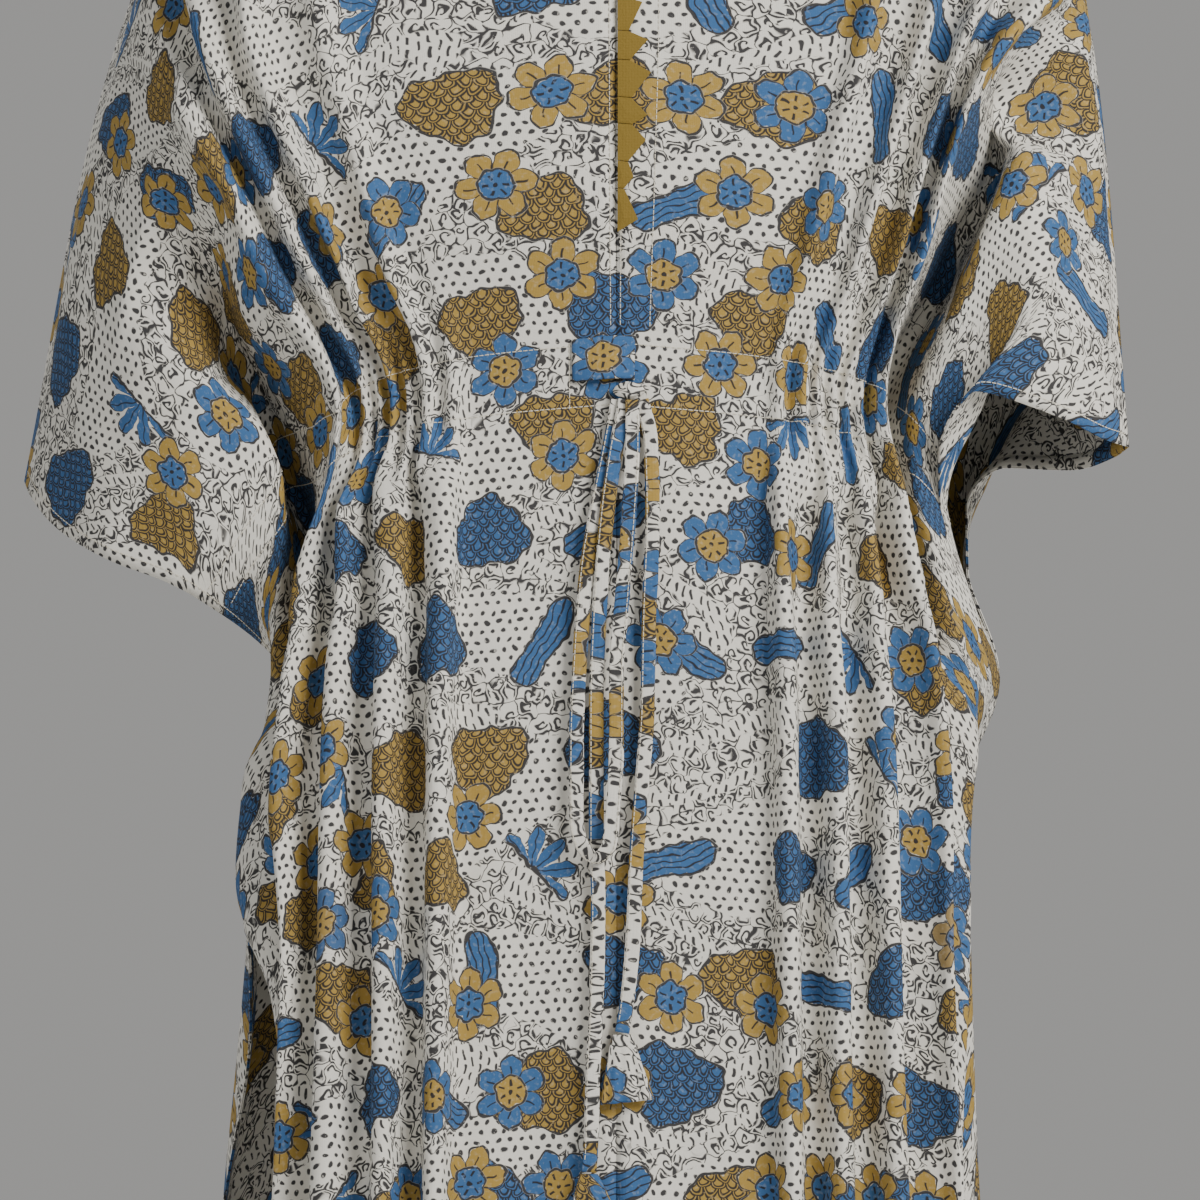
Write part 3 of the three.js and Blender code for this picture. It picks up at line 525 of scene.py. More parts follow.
def cloth_down(places, outs, rows):
    """How far down the flat cloth each point is, from the real length between the rows."""
    run = np.linalg.norm(np.diff(places, axis=0), axis=2)
    lean = np.diff(outs, axis=0)
    down = np.vstack([np.zeros(len(ACROSS)), np.cumsum(np.sqrt(np.maximum(run**2 - lean**2, 0)), axis=0)])
    down += CASING_DROP - down[list(rows).index(CASING_DROP)]
    kernel = np.hanning(SMOOTHED_OVER) / np.hanning(SMOOTHED_OVER).sum()
    beside = SMOOTHED_OVER // 2
    padded = np.pad(down, ((0, 0), (beside, beside)), mode="edge")
    return np.array([np.convolve(row, kernel, mode="valid") for row in padded])


def surface_normals(places, cloth, side):
    across = np.gradient(places, axis=1)
    down = np.gradient(places, axis=0)
    normal = np.cross(across, down) * SIGN[side] * cloth["face"]
    return normal / np.maximum(np.linalg.norm(normal, axis=2), 1e-9)[:, :, None]


print("a normal is measured over", 2 * NORMAL_REACH, "mm")

# %% All four halves
HALVES = {}
for cloth, rows in ((FRONT, FRONT_ROWS), (BACK, BACK_ROWS)):
    for side in SIGN:
        places, outs = half_panel(cloth, side, rows)
        HALVES[cloth["name"], side] = {
            "places": places, "outs": outs, "rows": rows,
            "down": cloth_down(places, outs, rows), "normals": surface_normals(places, cloth, side),
        }
        print(cloth["name"], side, "reaches x", round(float(np.abs(places[:, :, 0]).max())), "mm")

# %% [markdown]
# ## From grids to cloth
# A panel is two grids, one for each half, whose points are moved to the surface. The halves are merged
# down the centre line below the slit. A thin wall goes inwards, so the printed side stays on the form
# of the solid that it stands for. The cloth's own coordinates become its UV map, in metres.

# %% Lay a grid
def lay_grid(bm, places, uvs, tube=False):
    """A grid with its points at places[row][column], whose sides are joined if it is a tube."""
    places, uvs = np.asarray(places), np.asarray(uvs)
    rows, columns = places.shape[:2]
    layer = bm.loops.layers.uv.get("UVMap") or bm.loops.layers.uv.new("UVMap")
    made = bmesh.ops.create_grid(bm, x_segments=columns - 1, y_segments=rows - 1, size=1)["verts"]
    down, over = (rows - 1) / 2, (columns - 1) / 2
    spots = {v: (round((1 - v.co.y) * down), round((1 + v.co.x) * over)) for v in made}
    for vert, spot in spots.items():
        vert.co = places[spot]
    for face in {face for vert in made for face in vert.link_faces}:
        for loop in face.loops:
            loop[layer].uv = uvs[spots[loop.vert]]
    if tube:
        seam = [v for v, (_, column) in spots.items() if column in (0, columns - 1)]
        bmesh.ops.remove_doubles(bm, verts=seam, dist=1e-6)
    return spots


print("points of a front half:", HALVES["front", "left"]["outs"].size)


# %% Turn the faces out and finish a piece
CLOTH_WALL = 0.0006


def face_out(bm, towards=0):
    """Turns all faces outwards. An open sheet's can be sent towards the front, -1, or the back, 1."""
    bmesh.ops.recalc_face_normals(bm, faces=bm.faces[:])
    if sum(f.normal.y * f.calc_area() for f in bm.faces) * towards < 0:
        bmesh.ops.reverse_faces(bm, faces=bm.faces[:])


def piece_from(bm, name, wall=0, offset=0, smoothed=True):
    """The bmesh as a piece, whose wall stands on both sides of it, or inside it at offset -1."""
    for face in bm.faces:
        face.smooth = smoothed
    mesh = bpy.data.meshes.new(name)
    bm.to_mesh(mesh)
    bm.free()
    piece = bpy.data.objects.new(name, mesh)
    bpy.context.scene.collection.objects.link(piece)
    if wall:
        modifier = piece.modifiers.new("wall", "SOLIDIFY")
        modifier.thickness = wall
        modifier.offset = offset
    return piece


print("the cloth's wall is", CLOTH_WALL * 1000, "mm thick")


# %% Build the two panels
def add_half(bm, cloth, side, open_to):
    """Lays half a panel, and gives back the points where it joins the other half."""
    half = HALVES[cloth["name"], side]
    places = half["places"] * 0.001
    centred = half["outs"][:, 0] < 1e-6
    joined = centred & (half["rows"] > open_to)
    places[centred, 0, 0] = SIGN[side] * PLACKET_GAP / 2000
    places[joined, 0, 0] = 0
    uvs = np.stack([SIGN[side] * half["outs"], -half["down"]], axis=2) * 0.001 + cloth["print_shift"]
    spots = lay_grid(bm, places, uvs)
    return [vert for vert, (row, column) in spots.items() if column == 0 and joined[row]]


def make_panel(cloth, open_to):
    bm = bmesh.new()
    middle = [vert for side in SIGN for vert in add_half(bm, cloth, side, open_to)]
    bmesh.ops.remove_doubles(bm, verts=middle, dist=1e-5)
    face_out(bm, cloth["face"])
    return piece_from(bm, cloth["name"] + "_cloth", CLOTH_WALL, -1)


front = make_panel(FRONT, PLACKET_END_DROP)
back = make_panel(BACK, BACK_NECK_DROP - 1)
print("faces of the front and the back:", len(front.data.polygons), len(back.data.polygons))

# %% [markdown]
# ## The studio
# A pale floor, a pale room and three soft lamps: the strongest stands high on the right in front, as
# in the picture, a weak one fills the left, and one behind rims the sleeves.

# %% Floor, room and lamps
FLOOR_HEIGHT = -1.42


def make_floor():
    bm = bmesh.new()
    bmesh.ops.create_grid(bm, x_segments=1, y_segments=1, size=3)
    floor = piece_from(bm, "floor")
    floor.data.transform(Matrix.Translation((0, 0, FLOOR_HEIGHT)))
    return floor


def plain(name, colour, roughness):
    material = bpy.data.materials.new(name)
    material.use_nodes = True
    shader = material.node_tree.nodes["Principled BSDF"]
    shader.inputs["Base Color"].default_value = colour
    shader.inputs["Roughness"].default_value = roughness
    return material


def lamp(name, place, aim, size, watts, colour):
    data = bpy.data.lights.new(name, "AREA")
    data.size = size
    data.energy = watts
    data.color = colour
    light = bpy.data.objects.new(name, data)
    light.location = place
    light.rotation_euler = (Vector(aim) - Vector(place)).to_track_quat("-Z", "Y").to_euler()
    bpy.context.scene.collection.objects.link(light)


floor = make_floor()
floor.data.materials.append(plain("floor", (0.74, 0.73, 0.71, 1), 0.9))
world = bpy.data.worlds.new("room")
bpy.context.scene.world = world
world.use_nodes = True
room_light = world.node_tree.nodes["Background"].inputs
room_light["Color"].default_value = (0.83, 0.82, 0.8, 1)
room_light["Strength"].default_value = 0.4
lamp("key", (1.5, -1.9, 0.7), (0, 0, -0.6), 1.1, 78, (1, 0.98, 0.95))
lamp("fill", (-2.0, -1.8, -0.3), (0, 0, -0.6), 1.8, 9, (0.93, 0.96, 1))
lamp("rim", (-0.6, 1.8, 0.8), (0, 0, -0.5), 1.2, 22, (1, 1, 1))
print("lamps:", len(bpy.data.lights))

# %% [markdown]
# ## Writing formulas as shader nodes
# A block print is flat shapes with clear edges, so it can be written as formulas on the cloth's own
# coordinates. This small helper turns ordinary sums into math nodes, which keeps those formulas
# short. Everything is in millimetres of cloth.

# %% Sums as nodes
def add_node(tree, kind, inputs, **settings):
    """A node with its settings, whose inputs are given by name or number as values or links."""
    node = tree.nodes.new("ShaderNode" + kind)
    for name, value in settings.items():
        setattr(node, name, value)
    for name, value in inputs.items():
        if isinstance(value, Term):
            value = value.socket
        if isinstance(value, bpy.types.NodeSocket):
            tree.links.new(value, node.inputs[name])
        else:
            node.inputs[name].default_value = value
    return node


class Term:
    """A value in a node tree. Sums with it make math nodes."""

    def __init__(self, tree, socket):
        self.tree = tree
        self.socket = socket

    def make(self, operation, *others):
        inputs = dict(enumerate((self, *others)))
        return Term(self.tree, add_node(self.tree, "Math", inputs, operation=operation).outputs[0])

    def __add__(self, other):
        return self.make("ADD", other)

    def __sub__(self, other):
        return self.make("SUBTRACT", other)

    def __mul__(self, other):
        return self.make("MULTIPLY", other)

    def __truediv__(self, other):
        return self.make("DIVIDE", other)

    __radd__ = __add__
    __rmul__ = __mul__

    def __rsub__(self, other):
        return (self * -1) + other

    def least(self, other):
        return self.make("MINIMUM", other)

    def most(self, other):
        return self.make("MAXIMUM", other)

    def wrap(self, half):
        return self.make("WRAP", half, -half)

    def size(self):
        return self.make("ABSOLUTE")

    def sin(self):
        return self.make("SINE")

    def floor(self):
        return self.make("FLOOR")

    def hypot(self, other):
        return (self * self + other * other).make("SQRT")

    def angle(self, other):
        """The direction of (self, other), in radians."""
        return other.make("ARCTAN2", self)

    def below(self, edge, soft=0.25):
        """1 where self is under edge, 0 where it is over, with a soft step between."""
        ends = {"From Min": edge - soft, "From Max": edge + soft, "To Min": 1, "To Max": 0}
        node = add_node(self.tree, "MapRange", {"Value": self, **ends}, interpolation_type="SMOOTHSTEP")
        return Term(self.tree, node.outputs["Result"])

    def past(self, edge):
        """1 where self is over edge and 0 where it is under."""
        return 1 - self.below(edge, HARD)


HARD = 0.001
print("a clear edge is", 2 * HARD, "wide")

# %% Nodes that the formulas share
MIX_UNDER, MIX_OVER, MIX_RESULT = 6, 7, 2


def axes(tree, vector):
    """The x and y of a vector."""
    parts = add_node(tree, "SeparateXYZ", {"Vector": vector}).outputs
    return Term(tree, parts["X"]), Term(tree, parts["Y"])


def noise(tree, vector, scale, detail):
    inputs = {"Vector": vector, "Scale": scale, "Detail": detail}
    return add_node(tree, "TexNoise", inputs, noise_dimensions="2D").outputs


def blend(tree, share, under, over):
    inputs = {"Factor": share, MIX_UNDER: under, MIX_OVER: over}
    return add_node(tree, "Mix", inputs, data_type="RGBA").outputs[MIX_RESULT]


def choose(share, near, other):
    """The near value where the share is 1, and the other where it is 0."""
    node = add_node(share.tree, "Mix", {"Factor": share, "A": other, "B": near})
    return Term(share.tree, node.outputs["Result"])


def staggered(x, y, wide, tall):
    """Which row of a net a point is in, and x moved by half a width in every other row."""
    row = (y / tall).floor()
    return row, x + row.make("MODULO", 2).size() * (wide / 2)


print("a colour mix is read from output", MIX_RESULT)

# %% [markdown]
# ## The motifs
# The print is its own design, in the colours and at the scale of such cloth: flowers in pairs, fronds,
# fields of scales, striped logs, and a ground of dots, curls and short strokes. A motif is a distance
# in millimetres, negative inside, so one formula gives its fill, its black outline and its lines.

# %% Formulas of the motifs
LINE, ARC_LINE = 0.72, 0.45
TURN = 6.28
PETAL_NICK = 0.08
SCALE_WIDTH, SCALE_SQUASH, SCALE_INNER = 7.6, 1.15, 0.62
LUMP, SMALL_LUMP = 0.12, 0.045
LOG_BEND, LOG_BULGE = 2.6, 0.9


def petals(x, y, radius, count, turn, pinch):
    """Distance to a flower or a fan of pointed petals, and how far it is to the nearest petal's rib."""
    r = x.hypot(y)
    pitch = math.pi / count
    across = (x.angle(y) + turn).wrap(pitch).size() / pitch
    edge = (across.make("SQRT") * -PETAL_NICK + across * across * across * -pinch + 1) * radius
    return r - edge, r, across, pitch


def scales(x, y, width, squash):
    """Distance to hanging scales with a double edge, in staggered rows."""
    reach = width / 2
    row, slid = staggered(x, y, width, reach * squash)
    up = (row + 1) * reach - y / squash
    arc = slid.wrap(reach).hypot(up)
    return (arc - reach).size().least((arc - reach * SCALE_INNER).size())


def patch_distance(x, y, wide, tall, seed):
    """Distance to a lumpy field, wide and tall from its middle."""
    around = x.angle(y)
    r = (x / wide).hypot(y / tall)
    lumps = (around * 3 + seed).sin() * LUMP + (around * 8 + seed * 2).sin() * SMALL_LUMP
    return (r - 1 + lumps) * min(wide, tall)


def log_distance(x, y, half, thick, seed):
    """Distance to a bent log that lies along x."""
    bent = y + (x / 11 + seed).sin() * LOG_BEND
    over = (x.size() - (half - thick)).most(0)
    girth = (x / 5 + seed).sin() * LOG_BULGE + thick
    return over.hypot(bent) - girth, bent


print("outlines are", 2 * LINE, "mm wide")

# %% The scribble
CURL_SCALE, CURL_RANDOMNESS = 0.115, 0.85
HOOK_START, HOOK_GROWTH = 1.9, 0.42
LOOP_SHARE, LOOP_INSET = 0.45, 1.8
GAP_WIDTH, THINNER = 1.8, 0.16
APART = 9


def voronoi(tree, vector, feature):
    inputs = {"Vector": vector, "Scale": CURL_SCALE, "Randomness": CURL_RANDOMNESS}
    return add_node(tree, "TexVoronoi", inputs, voronoi_dimensions="2D", feature=feature).outputs


def curls(tree, vector):
    """Distance to a scribble: cells with gaps in their walls, and a hook or a loop in each."""
    x, y = axes(tree, vector)
    net = voronoi(tree, vector, "F1")
    middle_x, middle_y = axes(tree, net["Position"])
    chance = axes(tree, net["Color"])[0]
    around = ((x - middle_x).angle(y - middle_y) + chance * TURN).wrap(math.pi)
    looped = chance.below(LOOP_SHARE, 0.01)
    near = Term(tree, net["Distance"])
    hook = (near / CURL_SCALE - (around * HOOK_GROWTH + HOOK_START)).size() + looped * APART
    wall = (Term(tree, voronoi(tree, vector, "F2")["Distance"]) - near) * (0.5 / CURL_SCALE)
    loop = (wall - LOOP_INSET).size() + (1 - looped) * APART
    gaps = ((around * 2).sin() - 0.5).most(0) * GAP_WIDTH + THINNER
    return hook.least(wall.least(loop) + gaps)


print("a cell of the scribble is about", round(1 / CURL_SCALE, 1), "mm wide")

# %% [markdown]
# ## Where the motifs stand
# Two staggered nets carry the motifs. Each cell of the first holds a field of scales, a log or a frond,
# and about half the cells of the second, which is printed over it, hold a flower. A number hashed from
# the cell picks the kind, the turn and the colour, so the motifs look strewn by hand.

# %% The nets and the colours
INK = (0.016, 0.015, 0.018, 1)
CREAM = (0.76, 0.735, 0.665, 1)
PALE_CREAM = (0.82, 0.8, 0.74, 1)
BLUE = (0.035, 0.118, 0.285, 1)
MUSTARD = (0.37, 0.24, 0.05, 1)
# wide, tall, how far a motif strays, seed
BIG_NET = (72, 61, 8, 3)
FLOWER_NET = (56, 50, 8, 11)
FAR = 99


def net_cell(tree, x, y, net):
    """Where a point is from the middle of its motif, and three numbers that are the cell's own."""
    wide, tall, stray, seed = net
    row, slid = staggered(x, y, wide, tall)
    column = (slid / wide).floor()
    cell = add_node(tree, "CombineXYZ", {"X": column, "Y": row, "Z": seed}).outputs["Vector"]
    hashed = add_node(tree, "TexWhiteNoise", {"Vector": cell}).outputs["Color"]
    parts = add_node(tree, "SeparateXYZ", {"Vector": hashed}).outputs
    chances = [Term(tree, part) for part in parts]
    dx = slid - column * wide - chances[0] * stray - (wide - stray) / 2
    dy = y - row * tall - chances[1] * stray - (tall - stray) / 2
    return dx, dy, chances


print("one cell in two rows of the nets:", BIG_NET[:2], "and", FLOWER_NET[:2], "mm")

# %% Fields, logs and fronds
PATCH_UP_TO, LOG_UP_TO, ANY_UP_TO = 0.6, 0.8, 0.97
MUSTARD_PATCHES = 0.62
PATCH_WIDE, PATCH_TALL = 26, 22
LOG_HALF, LOG_THICK, LOG_GRAIN = 26, 8, 1.9
FROND_RADIUS, FROND_SHIFT, FROND_LEAVES, FROND_PINCH = 26, 9, 9, 0.75


def big_motif(tree, x, y):
    """Distance to the nearest field, log or frond, its lines and its colour."""
    dx, dy, (first, second, kind) = net_cell(tree, x, y, BIG_NET)
    patch = patch_distance(dx, dy, PATCH_WIDE, PATCH_TALL, second * TURN) + first * 4
    turn = first * TURN
    c, s = turn.make("COSINE"), turn.sin()
    along, over = dx * c + dy * s, dy * c - dx * s
    log, bent = log_distance(along, over, LOG_HALF, LOG_THICK, 0.3)
    fan, r, across, pitch = petals(along + FROND_SHIFT, over, FROND_RADIUS, FROND_LEAVES, 0, FROND_PINCH)
    fan = fan.most((2 - FROND_SHIFT - along) * 0.8)
    rib = across * r * pitch + 0.1
    grain = (bent + (along / 4).sin() * 0.6).wrap(LOG_GRAIN).size()
    patched, logged = kind.below(PATCH_UP_TO, HARD), kind.below(LOG_UP_TO, HARD)
    empty = kind.past(ANY_UP_TO) * FAR
    distance = choose(patched, patch, choose(logged, log, fan)) + empty
    lines = choose(patched, scales(x, y, SCALE_WIDTH, SCALE_SQUASH), choose(logged, grain, rib))
    fill = blend(tree, patched * second.below(MUSTARD_PATCHES, HARD), BLUE, MUSTARD)
    return distance, lines, fill


print("shares of the first net: fields", PATCH_UP_TO, "and logs", round(LOG_UP_TO - PATCH_UP_TO, 2))

# %% Flowers
FLOWER_SHARE, BLUE_FLOWERS = 0.46, 0.45
FLOWER_RADIUS, FLOWER_PETALS, FLOWER_PINCH = 20.5, 6, 0.38
CORE_RADIUS, CORE_SPOTS, PISTIL_RADIUS = 9, 0.58, 0.9


def stamp_flower(tree, x, y, colour, ink, miss):
    dx, dy, (first, second, kind) = net_cell(tree, x, y, FLOWER_NET)
    missing = kind.past(FLOWER_SHARE) * FAR
    distance, r, across, pitch = petals(dx, dy, FLOWER_RADIUS, FLOWER_PETALS, second * 1.05, FLOWER_PINCH)
    aside = across * r * pitch
    rib = aside.most(r - FLOWER_RADIUS * 0.7)
    seam = (1 - across) * r * pitch
    blue = first.below(BLUE_FLOWERS, HARD)
    fill = blend(tree, blue, MUSTARD, BLUE)
    colour, ink = stamp(tree, colour, ink, distance + missing, rib.least(seam), fill, miss)
    core = r - CORE_RADIUS + across * across * 0.9
    spots = (aside - 0.2).most((r - CORE_RADIUS * CORE_SPOTS).size() - 1.2)
    middle = blend(tree, blue, BLUE, MUSTARD)
    return stamp(tree, colour, ink, core + missing, spots.least(r - PISTIL_RADIUS), middle, miss)


print("a flower is", 2 * FLOWER_RADIUS, "mm wide")

# %% [markdown]
# ## The print as one node group
# The layers are stamped in order, the ground first and the flowers last. The cloth is printed by hand,
# so a slow noise shifts everything a little, the fills miss their outlines by a hair, and the colour
# is blotchy.

# %% Groups, drift and stamps
FILL_EDGE, FILL_SOFT = -0.5, 0.3


def new_group(name, inputs, outputs):
    tree = bpy.data.node_groups.new(name, "ShaderNodeTree")
    for label, kind in inputs:
        tree.interface.new_socket(label, in_out="INPUT", socket_type=kind)
    for label, kind in outputs:
        tree.interface.new_socket(label, in_out="OUTPUT", socket_type=kind)
    return tree, tree.nodes.new("NodeGroupInput"), tree.nodes.new("NodeGroupOutput")


def shifted(tree, place, drift, reach):
    """The place moved by a slow noise, so that no line is quite straight."""
    inputs = {0: drift, 1: (reach, reach, 0), 2: place}
    return add_node(tree, "VectorMath", inputs, operation="MULTIPLY_ADD").outputs["Vector"]


def stamp(tree, colour, ink, distance, lines, fill, miss):
    """Stamps one motif: cream under it, its fill a hair off, then the outline and its lines."""
    covered = distance.below(LINE)
    colour = blend(tree, covered, colour, CREAM)
    colour = blend(tree, (distance + miss).below(FILL_EDGE, FILL_SOFT), colour, fill)
    drawn = distance.size().below(LINE).most(lines.below(ARC_LINE) * distance.below(0.1))
    return colour, (ink * (1 - covered)).most(drawn)


print("fills stop about", -FILL_EDGE, "mm inside their outlines")

# %% The ground
FIELD_WIDE, FIELD_TALL, FIELD_SOFT = 180, 188, 0.02
DOTS_UP_TO, DASHES_AT, DASHES_REACH = -0.38, 1.05, 0.26
DOT_WIDE, DOT_TALL, DOT_RADIUS = 6.1, 5.3, 1.4
DASH_PITCH, DASH_SHIFT, DASH_WRAP, DASH_REACH = 4.4, 3.1, 3.9, 1.9


def ground_layer(tree, x, y, blotch, scribble):
    """The cream ground with fields of dots, curls and short strokes."""
    wide, tall = 2 * math.pi / FIELD_WIDE, 2 * math.pi / FIELD_TALL
    field = (x * wide + (y * tall).sin() * 1.7 + 0.6).sin() + (y * tall * 2 + (x * wide).sin()).sin() * 0.7
    dotted = field.below(DOTS_UP_TO, FIELD_SOFT)
    dashed = (field - DASHES_AT).size().below(DASHES_REACH, FIELD_SOFT)
    row, slid = staggered(x, y, DOT_WIDE, DOT_TALL)
    dots = slid.wrap(DOT_WIDE / 2).hypot(y - row * DOT_TALL - DOT_TALL / 2) - DOT_RADIUS
    slanted, along = x + (y / 9).sin() * 3, y + (x / 12).sin() * 3
    column = (slanted / DASH_PITCH).floor()
    beyond = ((along + column * DASH_SHIFT).wrap(DASH_WRAP).size() - DASH_REACH).most(0)
    dashes = (slanted - column * DASH_PITCH - DASH_PITCH / 2).hypot(beyond)
    ink = (dots + (blotch - 0.5) * 0.9).below(0, 0.3) * dotted
    ink = ink.most(dashes.below(LINE) * dashed)
    ink = ink.most(scribble.below(LINE) * (1 - dotted) * (1 - dashed))
    return blend(tree, (blotch - 0.2) * 0.5, CREAM, PALE_CREAM), ink


print("dots are", 2 * DOT_RADIUS, "mm wide")

# %% Put the layers together
DRIFT_SCALE, MOTIF_DRIFT, CURL_DRIFT = 0.16, 2.6, 4.4
BLOTCH_SCALE, FILL_MISS = 0.35, 2.4
WORN_FILL, WORN_INK = 0.12, 0.5


def make_print():
    tree, source, sink = new_group(
        "block_print", [("Place", "NodeSocketVector")],
        [("Color", "NodeSocketColor"), ("Ink", "NodeSocketFloat")])
    place = source.outputs["Place"]
    drift = noise(tree, place, DRIFT_SCALE, 0)["Color"]
    x, y = axes(tree, shifted(tree, place, drift, MOTIF_DRIFT))
    scribble = curls(tree, shifted(tree, place, drift, CURL_DRIFT))
    blotch = Term(tree, noise(tree, place, BLOTCH_SCALE, 2)["Fac"])
    miss = (blotch - 0.5) * FILL_MISS

    colour, ink = ground_layer(tree, x, y, blotch, scribble)
    colour, ink = stamp(tree, colour, ink, *big_motif(tree, x, y), miss)
    colour, ink = stamp_flower(tree, x, y, colour, ink, miss)
    colour = blend(tree, blotch.below(0.36, 0.12) * WORN_FILL, colour, CREAM)
    ink = ink * (1 - blotch.below(0.3, 0.06) * WORN_INK)
    tree.links.new(blend(tree, ink * 0.97, colour, INK), sink.inputs["Color"])
    tree.links.new(ink.socket, sink.inputs["Ink"])
    return tree


block_print = make_print()
print("nodes in the print:", len(block_print.nodes))

# %% [markdown]
# ## The cloth's material
# Plain-weave cotton is matt. The weave is too fine to model, so it is a small bump in the same
# coordinates as the print. The ink shows through to the inside, but paler.

# %% The weave
WEAVE_DEPTH = 0.0004
THREADS, THREAD_SHARE, SLUB_SCALE = 7.5, 0.16, 0.6


def make_weave():
    tree, source, sink = new_group("weave", [("Place", "NodeSocketVector")], [("Height", "NodeSocketFloat")])
    x, y = axes(tree, source.outputs["Place"])
    slubs = Term(tree, noise(tree, source.outputs["Place"], SLUB_SCALE, 1)["Fac"])
    height = ((x * THREADS).sin() + (y * THREADS).sin()) * THREAD_SHARE + slubs
    tree.links.new(height.socket, sink.inputs["Height"])
    return tree


def use_weave(material, place, strength):
    """The weave as a bump on a material's shader."""
    tree = material.node_tree
    height = add_node(tree, "Group", {"Place": place}, node_tree=weave).outputs["Height"]
    bump = add_node(tree, "Bump", {"Strength": strength, "Distance": WEAVE_DEPTH, "Height": height})
    tree.links.new(bump.outputs["Normal"], tree.nodes["Principled BSDF"].inputs["Normal"])


weave = make_weave()
print("nodes in the weave:", len(weave.nodes))

# %% Printed and dyed cotton
PRINTED_WEAVE, PLAIN_WEAVE = 0.35, 0.5
FADE_INSIDE = 0.45


def printed_cotton():
    """The print and the weave, in the cloth's own coordinates in millimetres."""
    material = plain("printed_cotton", CREAM, 0.86)
    tree = material.node_tree
    uv = add_node(tree, "UVMap", {}, uv_map="UVMap").outputs["UV"]
    place = add_node(tree, "VectorMath", {0: uv, "Scale": 1000}, operation="SCALE").outputs["Vector"]
    dyed = add_node(tree, "Group", {"Place": place}, node_tree=block_print).outputs["Color"]
    fade = Term(tree, add_node(tree, "NewGeometry", {}).outputs["Backfacing"]) * FADE_INSIDE
    pale = blend(tree, fade, dyed, CREAM)
    tree.links.new(pale, tree.nodes["Principled BSDF"].inputs["Base Color"])
    use_weave(material, place, PRINTED_WEAVE)
    return material


def plain_cotton(name, colour):
    """Dyed cotton with the same weave, in object coordinates."""
    material = plain(name, colour, 0.8)
    tree = material.node_tree
    inputs = {
        "Vector": add_node(tree, "TexCoord", {}).outputs["Object"],
        "Rotation": (math.pi / 2, 0, 0),
        "Scale": (1000, 1000, 1000),
    }
    use_weave(material, add_node(tree, "Mapping", inputs).outputs["Vector"], PLAIN_WEAVE)
    return material


cotton = printed_cotton()
mustard = plain_cotton("mustard_cloth", (0.2, 0.128, 0.012, 1))
thread = plain("thread", (0.66, 0.62, 0.52, 1), 0.7)
print("materials:", [m.name for m in bpy.data.materials])


# %% Say what each piece is
def keep(piece, *nodes, slot="print_cloth", material=cotton):
    """A piece of the garment, with the solids that it stands for and what it is made of."""
    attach(piece, "root")
    if nodes:
        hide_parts(*nodes)
    piece.data.materials.append(material)
    return piece


keep(front, "front_panel")
keep(back, "back_panel")
print("the panels are", front.name, "and", back.name)

# %% [markdown]
# ## Finding a place on the finished cloth
# Everything that is sewn on lies on the cloth as it hangs, folds and all. This finds the point, the
# normal and the cloth's own coordinates for any guide line and drop, so a hem or a row of stitches can
# follow the surface exactly.

# %% Places on the cloth
def between(table, row, column):
    """The value of a table of points between its rows and columns."""
    i = np.clip(np.floor(row).astype(int), 0, table.shape[0] - 2)
    j = np.clip(np.floor(column).astype(int), 0, table.shape[1] - 2)
    f, g = row - i, column - j
    if table.ndim == 3:
        f, g = f[:, None], g[:, None]
    upper = table[i, j] * (1 - g) + table[i, j + 1] * g
    lower = table[i + 1, j] * (1 - g) + table[i + 1, j + 1] * g
    return upper * (1 - f) + lower * f


def row_at(half, drops):
    return np.interp(drops, half["rows"], np.arange(len(half["rows"])))


def on_cloth(cloth, side, guides, drops):
    """Points and normals in metres, and UVs, for lists of guides and drops."""
    half = HALVES[cloth["name"], side]
    guides, drops = np.broadcast_arrays(np.asarray(guides, float), np.asarray(drops, float))
    row = row_at(half, drops)
    column = np.interp(guides, ACROSS, np.arange(len(ACROSS)))
    points = between(half["places"], row, column) * 0.001
    normals = between(half["normals"], row, column)
    normals /= np.linalg.norm(normals, axis=1)[:, None]
    out, down = between(half["outs"], row, column), between(half["down"], row, column)
    return points, normals, np.stack([SIGN[side] * out, -down], axis=1) * 0.001 + cloth["print_shift"]


def guide_at(cloth, side, outs, drops):
    """The guides of the points that are so far out from the centre of the cloth."""
    half = HALVES[cloth["name"], side]
    outs, drops = np.broadcast_arrays(np.asarray(outs, float), np.asarray(drops, float))
    found = []
    for out, k in zip(outs, row_at(half, drops)):
        i = min(int(k), len(half["rows"]) - 2)
        row = half["outs"][i] * (1 - k + i) + half["outs"][i + 1] * (k - i)
        found.append(np.interp(out, row, ACROSS))
    return np.array(found)


def near_middle(out, drop, lift):
    """A point on the front, lifted off it, by signed out and drop."""
    side = "left" if out < 0 else "right"
    guide = guide_at(FRONT, side, [abs(out)], [drop])
    point, normal, uv = on_cloth(FRONT, side, guide, [drop])
    return Vector(point[0] + normal[0] * lift * 0.001), uv[0]


print("the cloth beside the casing flap:", near_middle(-24, 430, 0)[0])

# %% [markdown]
# ## Hems
# The sleeves, the side slits and the foot of the garment are turned in twice and stitched. From
# outside only the stitches show, and from inside the narrow turned strip. Each strip lies just inside
# the panel and follows its folds.

# %% Turn in the hems
HEM = 8
HEM_EDGE = 0.6
HEM_LIFT = -1.1
HEM_WALL = 0.0007
STITCH_INSET = 6.3
LINE_STEP, FOOT_POINTS = 5, 160


def side_line(cloth, side, first, last, inset):
    drops = np.linspace(first, last, int((last - first) / LINE_STEP) + 2)
    return guide_at(cloth, side, read(SIDE_EDGE, drops)[:, 1] - inset, drops), drops


def foot_line(inset):
    guides = np.linspace(0, 1, FOOT_POINTS)
    return guides, np.full_like(guides, CENTRE_LENGTH - inset)


